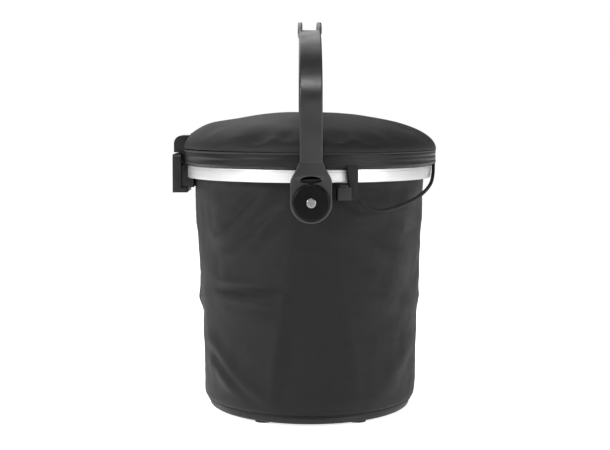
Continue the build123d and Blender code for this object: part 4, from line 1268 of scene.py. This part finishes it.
@dataclass
class Cover:
    """The cloth cover: dome, band, piping and the gusset round the mount's hood."""

    centre_gap: float = 0.0009
    dome_size: tuple[float, float] = (0.94, 0.17)
    band_width: float = 0.0082
    band_edge: float = 0.0014
    gusset_end: float = -0.1236
    dome_wall: float = 0.0011
    around: int = 288
    dome_rows: int = 64
    notch_half: float = 0.024
    gusset_wall: float = 0.0012
    dents: tuple[tuple[float, float, float, float], ...] = (
        (-0.050, -0.152, 0.013, -1.7), (-0.023, -0.156, 0.009, -1.3), (0.026, -0.156, 0.011, -1.3),
        (0.056, -0.149, 0.013, -1.6), (-0.036, -0.160, 0.007, 1.0), (-0.072, -0.138, 0.012, 1.0),
        (0.041, -0.158, 0.008, 1.1), (0.082, -0.128, 0.014, -1.0), (0.030, 0.152, 0.013, -1.5),
        (-0.044, 0.150, 0.012, -1.4), (0.100, -0.060, 0.020, -1.2), (0.104, 0.052, 0.022, -1.1),
        (-0.090, 0.090, 0.020, -1.0), (-0.092, -0.080, 0.018, -0.9))

    def dome_height(self, x: float, y: float, half_x: float, half_y: float) -> float:
        """The dome's height over its seam at a place, in metres.

        Args:
            x: the place along X, in metres.
            y: the place along Y, in metres.
            half_x: the oval's half width along X, in metres.
            half_y: the oval's half width along Y, in metres.

        Returns:
            the height, in metres.
        """
        low, high = box("lid_dome")
        rise = high[2] - low[2]
        share = min(math.hypot(x / half_x, y / half_y), 1)
        height = rise * math.sqrt(max(1 - share ** 2, 0))
        rearward = max(0.0, -x / half_x)
        height += 0.0036 * math.exp(-(((share - 0.8) / 0.17) ** 2)) * rearward
        ripples = sum(lift * math.exp(-(math.hypot(x - dx, y - dy) / width) ** 2)
                      for dx, dy, width, lift in self.dents)
        place = Vector((x, y, 0.3))
        ripples = 2.0 * ripples + 0.9 * noise.noise(place * 18) + 0.45 * noise.noise(place * 48)
        edge = min(1, (1 - share) / 0.05)
        return height + ripples * MM * edge * 0.9

    def cut_notch(self, obj: bpy.types.Object) -> None:
        """Cut a piece away where the mount's hood stands.

        Args:
            obj: the piece.
        """
        inner = box("lid_gusset")[1][0]
        deselect()
        bpy.ops.mesh.primitive_cube_add(size=1)
        cutter = bpy.context.object
        width = 2 * (self.notch_half + self.gusset_wall * 0.5)
        cutter.scale = (0.06, width, 0.2)
        cutter.location = (inner - self.gusset_wall * 0.5 - 0.03, 0, 0.27)
        bpy.ops.object.transform_apply(location=True, rotation=True, scale=True)
        apply_modifier(obj, "BOOLEAN", object=cutter, operation="DIFFERENCE", solver="EXACT")
        bpy.data.objects.remove(cutter)

    def dome(self) -> bpy.types.Object:
        """The domed panel.

        Returns:
            the piece.
        """
        low, high = box("lid_dome")
        half_x, half_y = high[0], high[1]
        count = self.dome_rows

        def place(turn: float, along: float) -> Point:
            """A point on the dome: the rim at 0, the top at 1.

            Args:
                turn: the share of the way round.
                along: the share of the way along.

            Returns:
                the place, in metres.
            """
            share = math.cos(along * math.pi / 2)
            share = max(share, 0.004)
            angle = math.tau * turn
            x, y = half_x * share * math.cos(angle), half_y * share * math.sin(angle)
            return (x, y, low[2] + self.dome_height(x, y, half_x, half_y))

        obj = tube("cover_dome", self.around, count, place, self.dome_size)
        close_centre(obj, self.centre_gap)
        layer = obj.data.uv_layers["UVMap"]
        for loop in obj.data.loops:
            point = obj.data.vertices[loop.vertex_index].co
            layer.data[loop.index].uv = (point.x, point.y)
        apply_modifier(obj, "SOLIDIFY", thickness=self.dome_wall, offset=-1)
        self.cut_notch(obj)
        smooth(obj, 50)
        dress(obj, COVER_CLOTH.make())
        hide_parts("lid_dome")
        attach(obj, Body.COVER.value)
        return obj

    def band(self) -> bpy.types.Object:
        """The hem band: a closed sewn channel, its outer face gathered in level ridges.

        Returns:
            the piece.
        """
        low, high = box("lid_band")
        width = self.band_width
        outline = rounded_box_profile(0, width, low[2], high[2], self.band_edge, 3)
        outer_low = [(0.0026, low[2] + 0.0001), (0.0004, low[2] + 0.0018)]
        face = [(0.0, low[2] + 0.0024 + (high[2] - low[2] - 0.0038) * k / 14) for k in range(15)]
        inner = [point for point in outline if point[0] > width / 2]
        profile = outer_low + face + [(0.0005, high[2])] + list(reversed(inner))

        def gather(point: Vector, number: int) -> Vector:
            """The outer face's ridges and the hem's slight unevenness.

            Args:
                point: the point.
                number: its number in the outline.

            Returns:
                the point, moved.
            """
            if not 2 <= number <= 16:
                return point
            out = Vector((point.x / high[0] ** 2, point.y / high[1] ** 2, 0)).normalized()
            run = math.atan2(point.y / high[1], point.x / high[0])
            around = Vector((math.cos(run) * 1.4, math.sin(run) * 1.4, point.z * 330))
            ridge = 0.00042 * noise.noise(around) + 0.0002 * noise.noise(around * 2.3)
            return point + out * (ridge - 0.0003)

        obj = ring("cover_band", 256, profile, high[0], high[1], gather)
        self.cut_notch(obj)
        smooth(obj, 50)
        dress(obj, BAND_CLOTH.make())
        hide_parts("lid_band", "hem_cord")
        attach(obj, Body.COVER.value)
        return obj

    def piping(self) -> bpy.types.Object:
        """The corded seam between the band and the dome.

        Returns:
            the piece.
        """
        low, high = box("lid_piping")
        radius = (high[2] - low[2]) / 2
        profile = [(radius - radius * math.cos(math.tau * k / 12),
                    (low[2] + high[2]) / 2 - radius * math.sin(math.tau * k / 12))
                   for k in range(12)]
        obj = ring("cover_piping", 256, profile, high[0], high[1])
        self.cut_notch(obj)
        smooth(obj, 60)
        dress(obj, PIPING_CLOTH.make())
        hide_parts("lid_piping")
        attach(obj, Body.COVER.value)
        return obj

    def gusset(self) -> bpy.types.Object:
        """The wall that closes the cover round the mount's hood.

        Returns:
            the piece.
        """
        low, high = box("lid_gusset")
        dome_low, dome_high = box("lid_dome")
        back = high[0] - self.gusset_wall / 2
        end = self.gusset_end
        half = self.notch_half + self.gusset_wall / 2
        cheek = back - end
        total = 2 * cheek + 2 * half

        def place(across: float, up: float) -> Point:
            """A point on the U-shaped wall.

            Args:
                across: the share of the way across.
                up: the share of the way up.

            Returns:
                the place, in metres.
            """
            run = across * total
            if run < cheek:
                x, y = end + run, -half
            elif run < cheek + 2 * half:
                x, y = back, -half + run - cheek
            else:
                x, y = back - (run - cheek - 2 * half), half
            share = math.hypot(x / dome_high[0], y / dome_high[1])
            rise = self.dome_height(x, y, dome_high[0], dome_high[1]) if share < 1 else 0
            top = dome_low[2] + rise
            sag = 0.0006 * math.sin(math.pi * up) * math.sin(math.pi * across)
            return (x + sag, y, low[2] + (top - low[2]) * up)

        deselect()
        bpy.ops.mesh.primitive_grid_add(x_subdivisions=60, y_subdivisions=16, size=2)
        obj = bpy.context.object
        obj.name = "cover_gusset"
        chart = {}
        for vertex in obj.data.vertices:
            across, up = (vertex.co.x + 1) / 2, (vertex.co.y + 1) / 2
            chart[vertex.index] = (across * total, up * 0.03)
            vertex.co = place(across, up)
        write_uv(obj, chart, 0)
        apply_modifier(obj, "SOLIDIFY", thickness=self.gusset_wall, offset=0)
        face_outward(obj)
        smooth(obj, 40)
        dress(obj, COVER_CLOTH.make())
        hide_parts("lid_gusset")
        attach(obj, Body.COVER.value)
        return obj

    def build(self) -> None:
        """The whole cover."""
        for piece in (self.dome(), self.band(), self.piping(), self.gusset()):
            log.info("cover %s", piece.name)
        dress(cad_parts["stopper_spring"], PLATED.make())


def main() -> None:
    """Build the scene in order."""
    studio = Studio()
    studio.camera()
    Drawcord().build()
    Bag().build()
    Rim().build()
    Bow().build()
    Cover().build()
    studio.stage()


if __name__ == "__main__":
    main()
